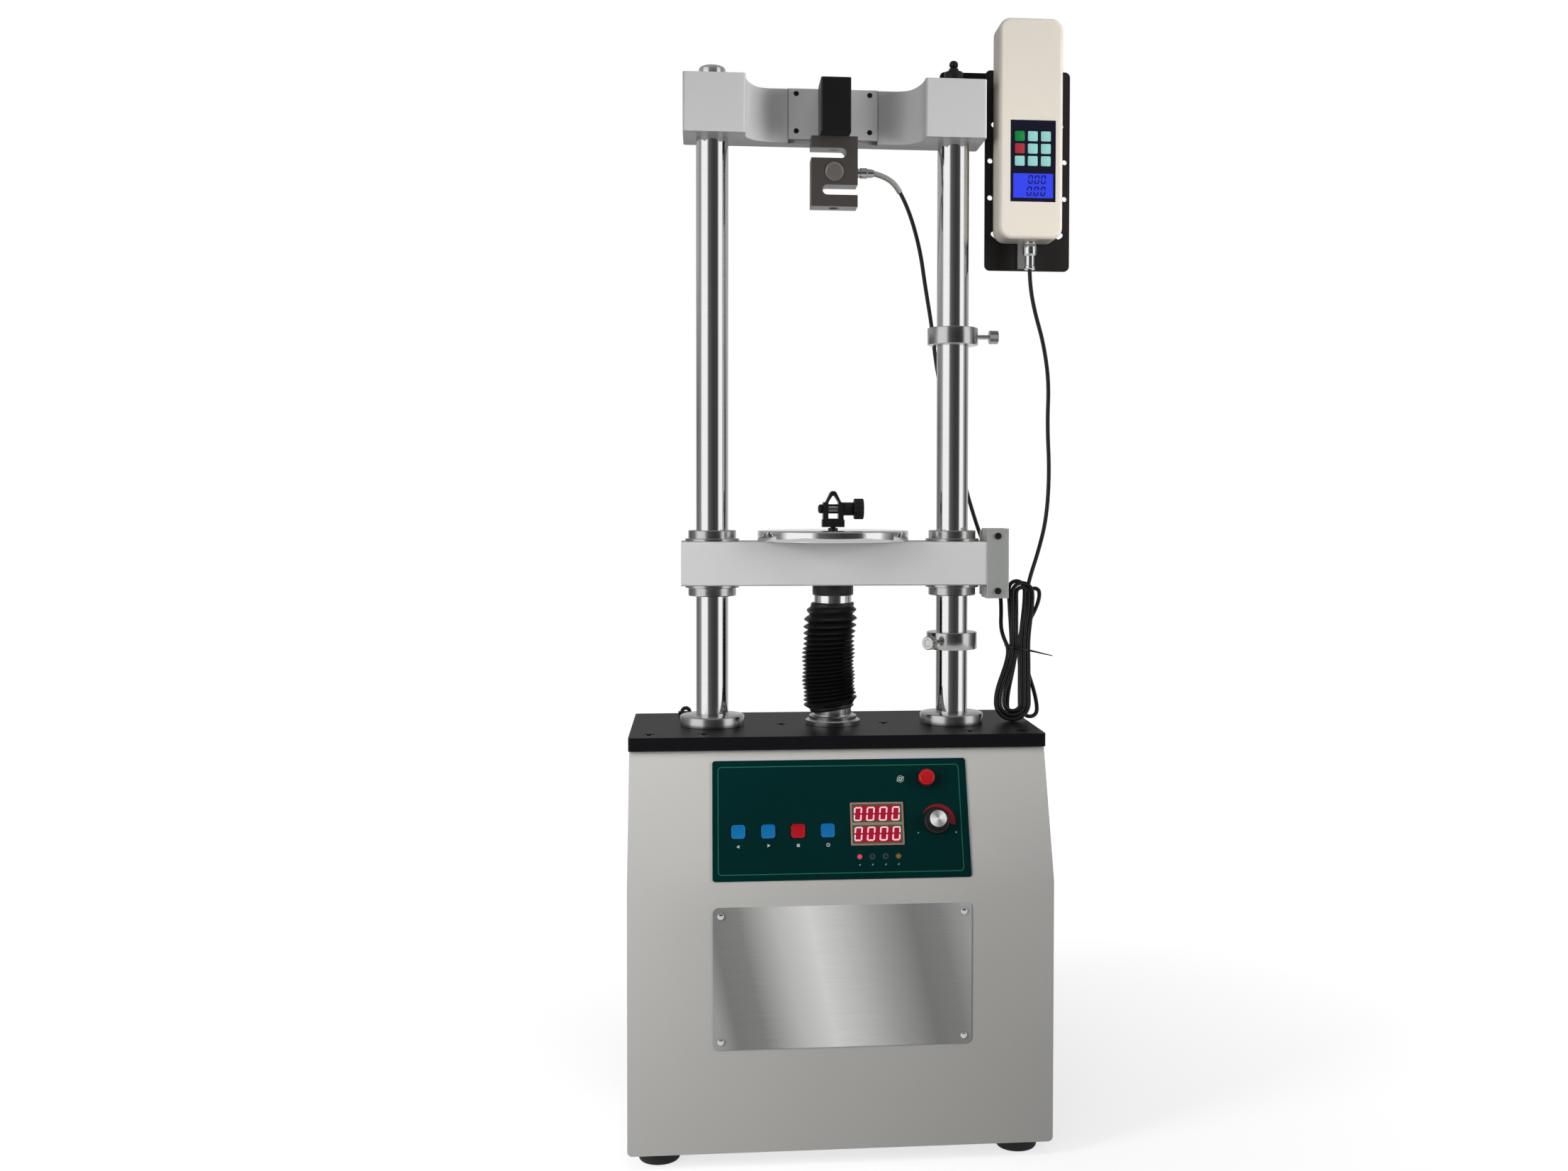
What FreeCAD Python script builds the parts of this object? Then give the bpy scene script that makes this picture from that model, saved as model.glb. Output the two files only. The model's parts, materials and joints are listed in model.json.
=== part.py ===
import FreeCAD, Part

import math
import os

from FreeCAD import Placement, Rotation, Vector

# Force test stand: two chromed columns on a cabinet, a fixed top crosshead with an S-type
# load cell, a crosshead driven by a screw ram, and a handheld gauge on a side bracket.
# Millimetres. X to the right, Y to the back, Z up. The origin is on the floor under the load axis.

# Cabinet
foot_height = 17.0
foot_radius = 21.5
foot_inset = 31.5
foot_front_y = -100.5
foot_back_y = 60.0
case_width = 438.0
case_wall = 2.0
case_front_y = -137.5
case_back_y = 95.0
slope_height = 132.5
case_corner_radius = 5.0
slope_run = 53.5
back_flange = 14.0
cover_thickness = 1.5
cover_screw_head = 3.5
vent_length = 46.0
vent_height = 4.0
vent_pitch = 11.0
vent_rows = 6
vent_left_x = -120.0
vent_step = 58.0
vent_top_gap = 60.0
vent_low_gap = 50.0
tube_side = 25.0
frame_inset = 20.0

# Base plate
plate_overhang = 1.0
plate_front_lip = 6.0
plate_back_lip = 3.0
plate_thickness = 14.0
case_height = 404.0
plate_corner = 3.0
plate_screw_head = 5.0
plate_screw_shank = 3.0
plate_screw_length = 24.0
plate_screw_inset = 22.5
plate_screw_step = 57.0
drive_screw_x = 56.5

# Columns
column_x = 132.5
column_radius = 17.5
column_spigot = 10.0
column_stud = 8.0
flange_radius = 35.0
flange_height = 11.5
nut_height = 10.0
cap_radius = 14.5
cap_height = 14.5
cap_dome = 3.5
slide_clearance = 0.05
seat_gap = 0.3

# Top crosshead
head_side_wall = 14.0
head_front_y = -34.0
head_back_y = 35.0
head_height = 63.0
column_length = 685.0
head_block_width = 67.0
head_middle_y = 10.5
head_middle_drop = 4.5
head_arc_radius = 30.0
head_ramp_radius = 34.0
head_ramp_inset = 17.0
head_corner = 3.0
head_land = 17.5

# Load arm and its plate
arm_plate_half = 49.3
arm_plate_thickness = 8.0
arm_plate_proud = 2.0
arm_plate_lift = 3.5
arm_half_width = 16.2
arm_front_y = -35.0
arm_height = 58.0
arm_edge = 1.5
arm_screw_x = 40.5
arm_screw_radius = 2.9

# Load cell
cell_width = 50.8
cell_height = 76.2
cell_depth = 25.4
cell_lift = 3.0
cell_slot = 10.8
cell_slot_offset = 19.9
cell_slot_reach = 13.0
cell_thread = 5.1
cell_thread_mouth = 6.0
cell_disc_radius = 11.6
cell_disc_groove = 0.8
gland_drop = 37.5
gland_radius = 5.8
gland_nose = 3.6
gland_length = 19.4

# Moving crosshead
moving_side_wall = 4.0
moving_half_depth = 32.0
moving_height = 47.5
moving_stand = 201.7
moving_edge = 1.2
bush_wall = 4.45
bush_flange_wall = 11.95
bush_flange_thickness = 3.0
bush_ring_wall = 8.45
bush_ring_height = 9.0
travel_up = 200.0
travel_down = 37.0

# Ram, its guide and the bellows
ram_radius = 19.0
ram_bore = 12.0
ram_length = 433.2
ram_collar_wall = 1.5
ram_collar_height = 12.0
ram_boss_wall = 3.5
ram_boss_height = 12.0
guide_flange_wall = 11.0
guide_flange_height = 5.5
guide_gland_wall = 7.0
guide_gland_height = 5.0
guide_neck_wall = 1.5
guide_rise = 20.5
guide_body_wall = 4.5
guide_length = 60.5
bellows_top_gap = 8.2
bellows_lift = 17.0
bellows_cuff_wall = 3.1
bellows_depth = 4.9
bellows_wall = 1.4
bellows_pleats = 20
bellows_cuff = 3.5

# Screw drive
screw_radius = 10.0
screw_thread_length = 295.0
screw_shoulder = 12.0
screw_shoulder_height = 6.0
journal_radius = 8.5
screw_lead = 5.0
nut_flange = 17.5
nut_flange_height = 10.0
nut_body_height = 22.0
housing_inner = 26.0
housing_outer = 30.0
housing_flange_height = 10.0
housing_flange_reach = 14.0
housing_flange_side = 4.0
housing_flange_corner = 12.0
housing_length = 325.0
drive_plate_thickness = 12.0
drive_plate_depth = 92.0
bearing_outer = 17.5
bearing_width = 10.0
bearing_count = 2
hub_radius = 26.0
hub_lip = 2.0
pulley_gap = 21.0
pulley_width = 16.0
pulley_flange = 1.5
pulley_flange_reach = 3.0
belt_pitch = 5.0
belt_thickness = 2.4
belt_clearance = 0.3
screw_teeth = 40
motor_teeth = 20
tooth_depth = 1.4
motor_x = 112.0
motor_shaft = 6.0
gearbox_radius = 36.0
gearbox_length = 52.0
motor_radius = 32.0
motor_length = 118.0
motor_cap_step = 6.0
motor_cap_height = 9.0
terminal_width = 24.0
terminal_height = 34.0
terminal_drop = 12.0
terminal_reach = 12.0

# Platen and grip
platen_radius = 83.0
platen_thickness = 11.8
platen_edge = 1.5
stud_radius = 3.0
grip_depth = 16.0
grip_lift = 3.7
grip_base_half = 12.2
grip_base_height = 8.3
grip_arm_half = 11.2
grip_gap_half = 5.6
grip_shoulder_height = 27.3
grip_height = 39.6
grip_band = 5.4
spindle_height = 20.0
spindle_radius = 4.0
knob_hub_radius = 7.3
knob_hub_length = 11.5
knob_radius = 11.7
knob_length = 10.5
knob_lobes = 12
acorn_radius = 5.0
acorn_length = 5.0

# Limit switch housing on the moving crosshead
limit_width = 24.5
limit_depth = 35.0
limit_drop = 14.2
limit_height = 76.0
limit_wall = 2.0
limit_screw_inset = 8.0
limit_screw_radius = 2.0
switch_depth = 12.5

# Stop collars on the right column
collar_wall = 10.4
collar_height = 19.0
upper_collar_gap = 2.0
lower_collar_gap = 1.7
thumb_shaft = 2.5
thumb_head = 7.4
thumb_head_length = 10.1
thumb_reach = 12.6
thumb_tip_gap = 0.4
lower_thumb_turn = 230.0

# Control panel on the sloped face
panel_width = 266.0
panel_drop = 12.2
panel_back_edge = 13.0
panel_end_gap = 6.4
panel_thickness = 1.6
panel_corner = 3.0
button_size = 14.4
button_gap = 0.25
button_proud = 1.2
button_stem = 4.0
button_lip = 1.3
button_travel = 1.0
button_drop = 86.5
button_first_x = -106.5
button_pitch = 30.7
button_count = 4
stop_x = 90.2
stop_drop = 33.9
stop_radius = 8.5
stop_height = 7.0
stop_stem = 5.0
stop_travel = 3.0
speed_x = 99.5
speed_drop = 78.5
speed_skirt = 14.0
speed_skirt_height = 4.0
speed_cap = 8.8
speed_height = 14.0
speed_shaft = 3.0
window_left = 9.4
window_right = 64.7
window_top = 58.3
window_bottom = 102.6
window_proud = 1.2
board_gap = 16.0
board_thickness = 1.6

# Nameplate on the front face
nameplate_width = 265.5
nameplate_height = 145.5
nameplate_thickness = 1.0
nameplate_gap = 19.75
nameplate_corner = 6.0
nameplate_side_inset = 8.05
nameplate_end_inset = 8.55
nameplate_screw_head = 3.4

# Back of the cabinet
inlet_inset = 69.0
inlet_rise = 53.0
inlet_width = 46.0
inlet_height = 27.5
inlet_depth = 30.0
inlet_flange = 4.0
rocker_rise = 27.0
rocker_width = 21.0
rocker_height = 14.0

# Power supply in the cabinet
supply_inset = 37.0
supply_front_y = -90.0
supply_length = 130.0
supply_width = 98.0
supply_height = 38.0
supply_lift = 6.0

# Gauge, its bracket and plate
bracket_lug_thickness = 4.0
bracket_web_thickness = 4.0
bracket_left_reach = 12.5
bracket_length = 124.0
bracket_rise = 20.5
bracket_lug_front_y = -13.0
carrier_gap = 6.5
carrier_width = 96.0
carrier_height = 222.0
carrier_rise = 23.0
carrier_front_y = 15.0
carrier_thickness = 3.0
carrier_corner = 6.0
carrier_hole = 2.9
carrier_hole_x = 42.2
carrier_hole_z = 20.5
carrier_slot_x = 36.8
carrier_slot_z = 61.5
carrier_slot_length = 9.0
carrier_slot_tilt = 35.0
carrier_hole_drop = 120.7
rail_inset = 37.0
rail_width = 13.0
rail_thickness = 2.0
rail_lift = 2.0
rail_length = 199.5
gauge_inset = 8.5
gauge_width = 71.0
gauge_drop = 169.5
gauge_height = 240.0
gauge_front_y = -25.0
gauge_split_y = 0.0
gauge_corner = 13.0
gauge_edge = 4.5
gauge_wall = 2.5
face_inset = 12.6
face_margin = 8.2
face_rise = 40.3
face_height = 88.7
face_thickness = 1.6
face_sink = 0.4
gauge_board_thickness = 1.6
gauge_board_inset = 3.0
gauge_board_end = 12.0
battery_rise = 110.0
battery_length = 66.0
module_height = 30.0
knob_washer = 14.3
knob_washer_height = 2.0
knob_stem = 5.6
knob_stem_height = 14.0
knob_ball = 4.9

# Signal cable
cable_diameter = 4.5
cable_share = 0.45
connector_inset = 38.3
connector_y = -6.0
connector_length = 31.0
hank_inset = 16.0
# Offsets from the load cell's gland and from the gauge's connector, then (height over the base
# plate, x and y of the middle, half width, half depth) of the tied hank, x from the hank's place.
cell_cable_route = [
    (0.0, 0.0, 0.0),
    (13.2, 0.6, -3.0),
    (26.7, 4.0, -13.5),
    (41.7, 11.0, -41.7),
    (54.2, 20.5, -81.0),
    (60.7, 28.5, -118.0),
    (69.5, 37.0, -160.7),
    (75.3, 41.5, -205.0),
    (83.7, 43.5, -245.0),
    (93.2, 44.5, -283.0),
    (104.2, 43.4, -321.0),
    (113.7, 44.0, -357.0),
    (127.7, 42.0, -401.0),
    (142.2, 38.0, -434.0),
    (157.2, 31.0, -460.0),
]
gauge_cable_route = [
    (0.0, 0.0, 0.0),
    (0.5, -0.2, -18.0),
    (6.2, 1.5, -46.0),
    (17.1, 5.0, -80.0),
    (24.7, 10.0, -123.0),
    (24.0, 15.0, -170.0),
    (28.0, 20.0, -223.0),
    (25.5, 23.5, -275.0),
    (15.9, 26.5, -313.0),
    (1.7, 30.0, -354.0),
]
cell_cable_end = (-2.0, 31.0, 145.0)
gauge_cable_end = (15.0, 24.0, 148.0)
hank_sections = [
    (0.3, 0.0, 4.0, 12.0, 6.0),
    (17.0, 2.0, 7.0, 24.0, 11.0),
    (39.0, 3.0, 11.0, 26.0, 12.0),
    (65.0, 4.0, 15.0, 18.0, 11.0),
    (83.0, 5.0, 18.0, 14.0, 10.5),
    (106.0, 8.5, 22.0, 18.0, 12.0),
    (130.0, 12.0, 26.0, 21.0, 13.0),
    (148.0, 13.0, 28.0, 17.0, 11.0),
    (154.0, 13.0, 29.0, 9.0, 6.0),
]

# Worked out from the sizes above
bush_bore = column_radius + slide_clearance
bush_body = bush_bore + bush_wall
bush_ring = bush_bore + bush_ring_wall
bush_flange = bush_bore + bush_flange_wall
collar_radius = column_radius + collar_wall
head_half_width = column_x + column_radius + head_side_wall
head_block_inner_x = head_half_width - head_block_width
head_ramp_x = head_block_inner_x - head_ramp_inset
moving_half_width = column_x + bush_flange + moving_side_wall
ram_collar = ram_radius + ram_collar_wall
ram_boss = ram_radius + ram_boss_wall
guide_flange = ram_radius + guide_flange_wall
guide_gland = ram_radius + guide_gland_wall
guide_neck = ram_radius + guide_neck_wall
guide_body = ram_radius + guide_body_wall
bellows_root = ram_collar + bellows_cuff_wall
bellows_crest = bellows_root + bellows_depth
foot_x = case_width / 2 - foot_inset
frame_x = case_width / 2 - frame_inset
case_bottom_z = foot_height
case_top_z = case_bottom_z + case_height
case_bend_z = case_top_z - slope_height
plate_top_z = case_top_z + plate_thickness
plate_width = case_width + 2 * plate_overhang
slope_top_y = case_front_y + slope_run
plate_front_y = slope_top_y - plate_front_lip
plate_back_y = case_back_y + plate_back_lip
plate_screw_y = plate_front_y + plate_screw_inset
plate_screw_inner_x = frame_x - plate_screw_step
slope_length = math.hypot(slope_height, slope_run)
slope_angle = math.degrees(math.atan2(slope_run, slope_height))
slope_frame = Placement(Vector(0, slope_top_y, case_top_z), Rotation(Vector(1, 0, 0), 90 - slope_angle))
head_land_z = plate_top_z + column_length
head_top_z = head_land_z + head_land
head_bottom_z = head_top_z - head_height
cell_top_z = head_bottom_z + cell_lift
arm_top_z = cell_top_z + arm_height
gland_z = cell_top_z - gland_drop
moving_top_z = plate_top_z + moving_stand
moving_bottom_z = moving_top_z - moving_height
ram_top_z = moving_bottom_z - ram_boss_height
ram_bottom_z = ram_top_z - ram_length
guide_top_z = plate_top_z + guide_rise
guide_bottom_z = guide_top_z - guide_length
bellows_top_z = ram_top_z - bellows_top_gap
bellows_bottom_z = plate_top_z + bellows_lift
platen_top_z = moving_top_z + platen_thickness
grip_base_z = platen_top_z + grip_lift
grip_shoulder_z = grip_base_z + grip_shoulder_height
grip_apex_z = grip_base_z + grip_height
spindle_z = grip_base_z + spindle_height
limit_bottom_z = moving_bottom_z - limit_drop
upper_collar_z = limit_bottom_z + limit_height + travel_up + upper_collar_gap
lower_collar_z = limit_bottom_z - travel_down - lower_collar_gap - collar_height
drive_plate_top_z = case_top_z - housing_length
drive_plate_bottom_z = drive_plate_top_z - drive_plate_thickness
bearing_bottom_z = drive_plate_bottom_z - bearing_count * bearing_width
screw_thread_z = drive_plate_bottom_z + screw_shoulder_height
screw_top_z = screw_thread_z + screw_thread_length
pulley_bottom_z = bearing_bottom_z - hub_lip - pulley_gap - pulley_width
nameplate_centre_z = case_bend_z - nameplate_gap - nameplate_height / 2
nameplate_screw_x = nameplate_width / 2 - nameplate_side_inset
nameplate_screw_z = nameplate_height / 2 - nameplate_end_inset
supply_left_x = supply_inset - case_width / 2
inlet_x = case_width / 2 - inlet_inset
inlet_z = case_bottom_z + inlet_rise
bracket_left_x = column_x - bracket_left_reach
bracket_right_x = bracket_left_x + bracket_length
bracket_top_z = head_top_z + bracket_rise
carrier_left_x = head_half_width + carrier_gap
carrier_right_x = carrier_left_x + carrier_width
carrier_top_z = head_top_z + carrier_rise
carrier_bottom_z = carrier_top_z - carrier_height
rail_left_x = carrier_left_x + rail_inset
rail_bottom_z = carrier_bottom_z + rail_lift
rail_top_z = rail_bottom_z + rail_length
gauge_left_x = carrier_left_x + gauge_inset
gauge_bottom_z = head_top_z - gauge_drop
face_left_x = gauge_left_x + face_inset
face_width = gauge_width - face_inset - face_margin
face_bottom_z = gauge_bottom_z + face_rise
connector_x = gauge_left_x + connector_inset
connector_top_z = gauge_bottom_z
connector_bottom_z = connector_top_z - connector_length
panel_length = slope_length - panel_drop - panel_end_gap
hank_x = plate_width / 2 - hank_inset
inlet_top_z = inlet_z + rocker_rise + rocker_height / 2 + 2 * inlet_flange
inlet_low_z = inlet_z - inlet_height / 2
rocker_pivot_y = case_back_y - 2.0
mount_plate_back_y = head_middle_y - arm_plate_proud + arm_plate_thickness


def save(node, shape):
    shape.exportStep("parts/" + node + ".step")


def box(x0, x1, y0, y1, z0, z1):
    return Part.makeBox(x1 - x0, y1 - y0, z1 - z0, Vector(x0, y0, z0))


def rod(radius, x, y, z0, z1):
    return Part.makeCylinder(radius, z1 - z0, Vector(x, y, z0))


def ring(outer, inner, x, y, z0, z1):
    return rod(outer, x, y, z0, z1).cut(rod(inner, x, y, z0 - 1, z1 + 1))


def cross_rod(radius, x0, x1, y, z):
    return Part.makeCylinder(radius, x1 - x0, Vector(x0, y, z), Vector(1, 0, 0))


def depth_rod(radius, x, y0, y1, z):
    return Part.makeCylinder(radius, y1 - y0, Vector(x, y0, z), Vector(0, 1, 0))


def fuse_all(shapes):
    whole = shapes[0]
    for shape in shapes[1:]:
        whole = whole.fuse(shape)
    return whole.removeSplitter()


def cut_all(shape, cutters):
    for cutter in cutters:
        shape = shape.cut(cutter)
    return shape


def group(shapes):
    return Part.makeCompound(shapes)


def edges_along(shape, direction, keep):
    found = []
    for edge in shape.Edges:
        ends = [vertex.Point for vertex in edge.Vertexes]
        if len(ends) < 2 or edge.Curve.TypeId != "Part::GeomLine":
            continue
        run = ends[1].sub(ends[0])
        if run.Length > 0 and abs(abs(run.normalize().dot(direction)) - 1) < 1e-6 and keep(edge.CenterOfMass):
            found.append(edge)
    return found


def round_box(x0, x1, y0, y1, z0, z1, radius, axis):
    body = box(x0, x1, y0, y1, z0, z1)
    return body.makeFillet(radius, edges_along(body, axis, lambda centre: True))


def polygon_solid(points, run):
    outline = Part.makePolygon([Vector(*point) for point in points + points[:1]])
    return Part.Face(outline).extrude(Vector(*run))


def turned(profile, x, y):
    # A closed outline of (radius, height) points turned about the vertical through (x, y).
    outline = Part.makePolygon([Vector(radius, 0, height) for radius, height in profile + profile[:1]])
    solid = Part.Face(outline).revolve(Vector(0, 0, 0), Vector(0, 0, 1), 360)
    solid.translate(Vector(x, y, 0))
    return solid


def turned_along_x(profile, y, z):
    # A closed outline of (radius, distance along X) points turned about an axis along X.
    outline = Part.makePolygon([Vector(along, radius, 0) for radius, along in profile + profile[:1]])
    solid = Part.Face(outline).revolve(Vector(0, 0, 0), Vector(1, 0, 0), 360)
    solid.translate(Vector(0, y, z))
    return solid


def on_slope(shape):
    # Local X to the right, local Y up the slope from its top edge, local Z out of the panel.
    placed = shape.copy()
    placed.Placement = slope_frame.multiply(placed.Placement)
    return placed


def mirrored_x(shape):
    return shape.mirror(Vector(0, 0, 0), Vector(1, 0, 0))


# Cabinet

def case_profile(inset):
    # Side outline of the cabinet, moved inwards by the wall for the hollow.
    angle = math.radians(slope_angle)
    shift = inset / math.cos(angle)
    bend_shift = inset * math.tan(angle / 2)
    front = case_front_y + inset
    above = 1.0 if inset else 0.0
    behind = 1.0 if inset else 0.0
    lift = above * math.tan(angle)
    return [
        (0, front, case_bottom_z + inset),
        (0, front, case_bend_z - bend_shift),
        (0, slope_top_y + shift + lift, case_top_z + above),
        (0, case_back_y + behind, case_top_z + above),
        (0, case_back_y + behind, case_bottom_z + inset),
    ]


def case_solid(inset):
    half = case_width / 2 - inset
    points = [(-half, y, z) for x, y, z in case_profile(inset)]
    body = polygon_solid(points, (2 * half, 0, 0))
    low = edges_along(body, Vector(0, 1, 0), lambda centre: centre.z < case_bottom_z + inset + 1)
    return body.makeFillet(case_corner_radius - inset, low)


def panel_cutouts(depth):
    # Openings through the sloped sheet for what the panel carries.
    cutters = []
    opening = button_size / 2 + button_gap
    for index in range(button_count):
        x = button_first_x + index * button_pitch
        cutters.append(box(x - opening, x + opening, -button_drop - opening, -button_drop + opening, -depth, depth))
    cutters.append(rod(stop_stem + button_gap, stop_x, -stop_drop, -depth, depth))
    cutters.append(rod(speed_shaft + button_gap, speed_x, -speed_drop, -depth, depth))
    cutters.append(window_opening(0, -depth, depth))
    return [on_slope(cutter) for cutter in cutters]


def window_opening(margin, low, high):
    return box(
        window_left + margin,
        window_right - margin,
        -window_bottom + margin,
        -window_top - margin,
        low,
        high,
    )


def casing():
    shell = case_solid(0).cut(case_solid(case_wall))
    half = case_width / 2 - case_wall
    flange = box(
        -half, half, case_back_y - case_wall, case_back_y, case_bottom_z + case_wall, case_top_z
    )
    opening = box(
        -half + back_flange,
        half - back_flange,
        case_back_y - case_wall - 1,
        case_back_y + 1,
        case_bottom_z + case_wall + back_flange,
        case_top_z - back_flange,
    )
    shell = fuse_all([shell, flange.cut(opening)])
    shell = cut_all(shell, panel_cutouts(12))
    holes = [rod(plate_screw_shank, x, y, case_bottom_z - 1, case_bottom_z + case_wall + 1) for x, y in foot_places()]
    holes += [depth_rod(cover_screw_head / 2, x, case_back_y - 5, case_back_y + 5, z) for x, z in cover_screw_places()]
    through = (case_front_y - 1, case_front_y + case_wall + 1)
    holes += [depth_rod(nameplate_screw_head / 2, x, *through, z) for x, z in nameplate_screw_places()]
    return cut_all(shell, holes)


def foot_places():
    return [(x, y) for x in (-foot_x, foot_x) for y in (foot_front_y, foot_back_y)]


def feet():
    made = []
    for x, y in foot_places():
        profile = [
            (0, 0),
            (foot_radius - 2, 0),
            (foot_radius, 2),
            (foot_radius - 1.5, foot_height),
            (plate_screw_shank, foot_height),
            (plate_screw_shank, foot_height + case_wall + 4),
            (0, foot_height + case_wall + 4),
        ]
        made.append(turned(profile, x, y))
    return group(made)


def cover_screw_places():
    half = case_width / 2 - case_wall - back_flange / 2
    low = case_bottom_z + case_wall + back_flange / 2
    high = case_top_z - back_flange / 2
    return [(x, z) for x in (-half, 0, half) for z in (low, high)] + [(x, (low + high) / 2) for x in (-half, half)]


def vent_slot(x, z):
    slot = box(
        x - vent_length / 2, x + vent_length / 2, case_back_y - 2, case_back_y + cover_thickness + 2,
        z - vent_height / 2, z + vent_height / 2,
    )
    return slot.makeFillet(vent_height / 2 - 0.05, edges_along(slot, Vector(0, 1, 0), lambda centre: True))


def rear_cover():
    half = case_width / 2 - case_wall
    cover = round_box(
        -half, half, case_back_y, case_back_y + cover_thickness,
        case_bottom_z + case_wall, case_top_z, plate_corner, Vector(0, 1, 0),
    )
    cutters = []
    for column in (vent_left_x, vent_left_x + vent_step):
        for row in range(vent_rows):
            cutters.append(vent_slot(column, case_top_z - vent_top_gap - row * vent_pitch))
            cutters.append(vent_slot(column, case_bottom_z + vent_low_gap + row * vent_pitch))
    through = (case_back_y - 5, case_back_y + 5)
    half_inlet = inlet_width / 2 - inlet_flange
    cutters.append(box(inlet_x - half_inlet, inlet_x + half_inlet, *through,
                       inlet_low_z + inlet_flange, inlet_top_z - inlet_flange))
    cutters += [depth_rod(cover_screw_head / 2, x, *through, z) for x, z in cover_screw_places()]
    return cut_all(cover, cutters)


def base_frame():
    half = tube_side / 2
    low = case_bottom_z + case_wall
    front = plate_screw_y
    back = case_back_y - case_wall - half - 1
    bars = []
    for x in (-frame_x, frame_x):
        for y in (front, back):
            bars.append(box(x - half, x + half, y - half, y + half, low, case_top_z))
        for z in (low, case_top_z - tube_side):
            bars.append(box(x - half, x + half, front, back, z, z + tube_side))
    for y in (front, back):
        bars.append(box(-frame_x, frame_x, y - half, y + half, case_top_z - tube_side, case_top_z))
    bars.append(box(-frame_x, frame_x, back - half, back + half, low, low + tube_side))
    frame = fuse_all(bars)
    top_holes = [rod(plate_screw_shank, x, y, case_top_z - 16, case_top_z + 1) for x, y in plate_screw_places()]
    foot_holes = [rod(plate_screw_shank + slide_clearance, x, y, low - 1, low + 6) for x, y in foot_places()]
    return cut_all(frame, top_holes + foot_holes)


# Base plate with its screws

def plate_screw_places():
    front = [(x, plate_screw_y) for x in (-frame_x, -plate_screw_inner_x, plate_screw_inner_x, frame_x)]
    return front + [(-drive_screw_x, 0), (drive_screw_x, 0)]


def base_plate():
    plate = round_box(
        -plate_width / 2, plate_width / 2, plate_front_y, plate_back_y,
        plate_top_z - plate_thickness, plate_top_z, plate_corner, Vector(0, 0, 1),
    )
    cutters = [rod(column_spigot, x, 0, case_top_z - 1, plate_top_z + 1) for x in (-column_x, column_x)]
    cutters.append(rod(guide_body, 0, 0, case_top_z - 1, plate_top_z + 1))
    for x, y in plate_screw_places():
        cutters.append(rod(plate_screw_head + 0.5, x, y, plate_top_z - 6.5, plate_top_z + 1))
        cutters.append(rod(plate_screw_shank, x, y, case_top_z - 1, plate_top_z))
    return cut_all(plate, cutters)


def cap_screw(x, y):
    seat = plate_top_z - 6.5
    head = rod(plate_screw_head, x, y, seat, seat + 6)
    socket = rod(plate_screw_head / 2, x, y, seat + 3, seat + 7)
    shank = rod(plate_screw_shank - slide_clearance, x, y, seat - plate_screw_length + 6, seat)
    return fuse_all([head.cut(socket), shank])


def dome_cap(x):
    profile = [
        (column_stud, head_top_z),
        (cap_radius, head_top_z),
        (cap_radius, head_top_z + cap_height - cap_dome),
        (cap_radius - 2.5, head_top_z + cap_height - 1.2),
        (cap_radius - 7, head_top_z + cap_height),
        (0, head_top_z + cap_height),
        (0, head_top_z + cap_height - 4),
        (column_stud, head_top_z + cap_height - 4),
    ]
    return turned(profile, x, 0)


def pan_screw(x, y, z, head):
    # Pan head screw that points towards +Y from a front face at y.
    shank = depth_rod(head / 2, x, y, y + 5, z)
    dome = depth_rod(head, x, y - 1.6, y, z)
    return fuse_all([dome, shank])


def back_screw(x, z):
    face = case_back_y + cover_thickness
    dome = depth_rod(cover_screw_head, x, face, face + 2, z)
    shank = depth_rod(cover_screw_head / 2, x, case_back_y - case_wall - 0.5, face, z)
    return fuse_all([dome, shank])


def arm_screw_places():
    high = head_top_z - 10.0
    low = head_bottom_z + 12.3
    return [(x, z) for x in (-arm_screw_x, arm_screw_x) for z in (low, high)]


def nameplate_screw_places():
    return [
        (x, nameplate_centre_z + z)
        for x in (-nameplate_screw_x, nameplate_screw_x)
        for z in (-nameplate_screw_z, nameplate_screw_z)
    ]


def fasteners():
    made = [cap_screw(x, y) for x, y in plate_screw_places()]
    made.append(dome_cap(-column_x))
    for x in (-column_x, column_x):
        made.append(ring(column_stud * 2, column_spigot, x, 0, case_top_z - nut_height, case_top_z))
    made += [back_screw(x, z) for x, z in cover_screw_places()]
    front = case_front_y - nameplate_thickness
    made += [pan_screw(x, front, z, nameplate_screw_head) for x, z in nameplate_screw_places()]
    plate_front = head_middle_y - arm_plate_proud
    made += [depth_rod(arm_screw_radius, x, plate_front + 0.4, plate_front + 16, z) for x, z in arm_screw_places()]
    return group(made)


# Columns

def columns():
    made = []
    for x in (-column_x, column_x):
        shaft = rod(column_radius, x, 0, plate_top_z, head_land_z)
        spigot = rod(column_spigot, x, 0, case_top_z - nut_height - 2, plate_top_z)
        stud_top = head_top_z + (cap_height - 4 if x < 0 else bracket_lug_thickness + knob_washer_height + 8)
        stud = rod(column_stud, x, 0, head_land_z, stud_top)
        made.append(fuse_all([shaft, spigot, stud]))
    return group(made)


def column_flanges():
    made = []
    for x in (-column_x, column_x):
        top = plate_top_z + flange_height
        profile = [
            (column_radius, plate_top_z),
            (flange_radius, plate_top_z),
            (flange_radius, top - 0.8),
            (flange_radius - 0.8, top),
            (column_radius + 1, top),
            (column_radius, top - 1),
        ]
        made.append(turned(profile, x, 0))
    return group(made)


# Top crosshead, load arm and load cell

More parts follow.
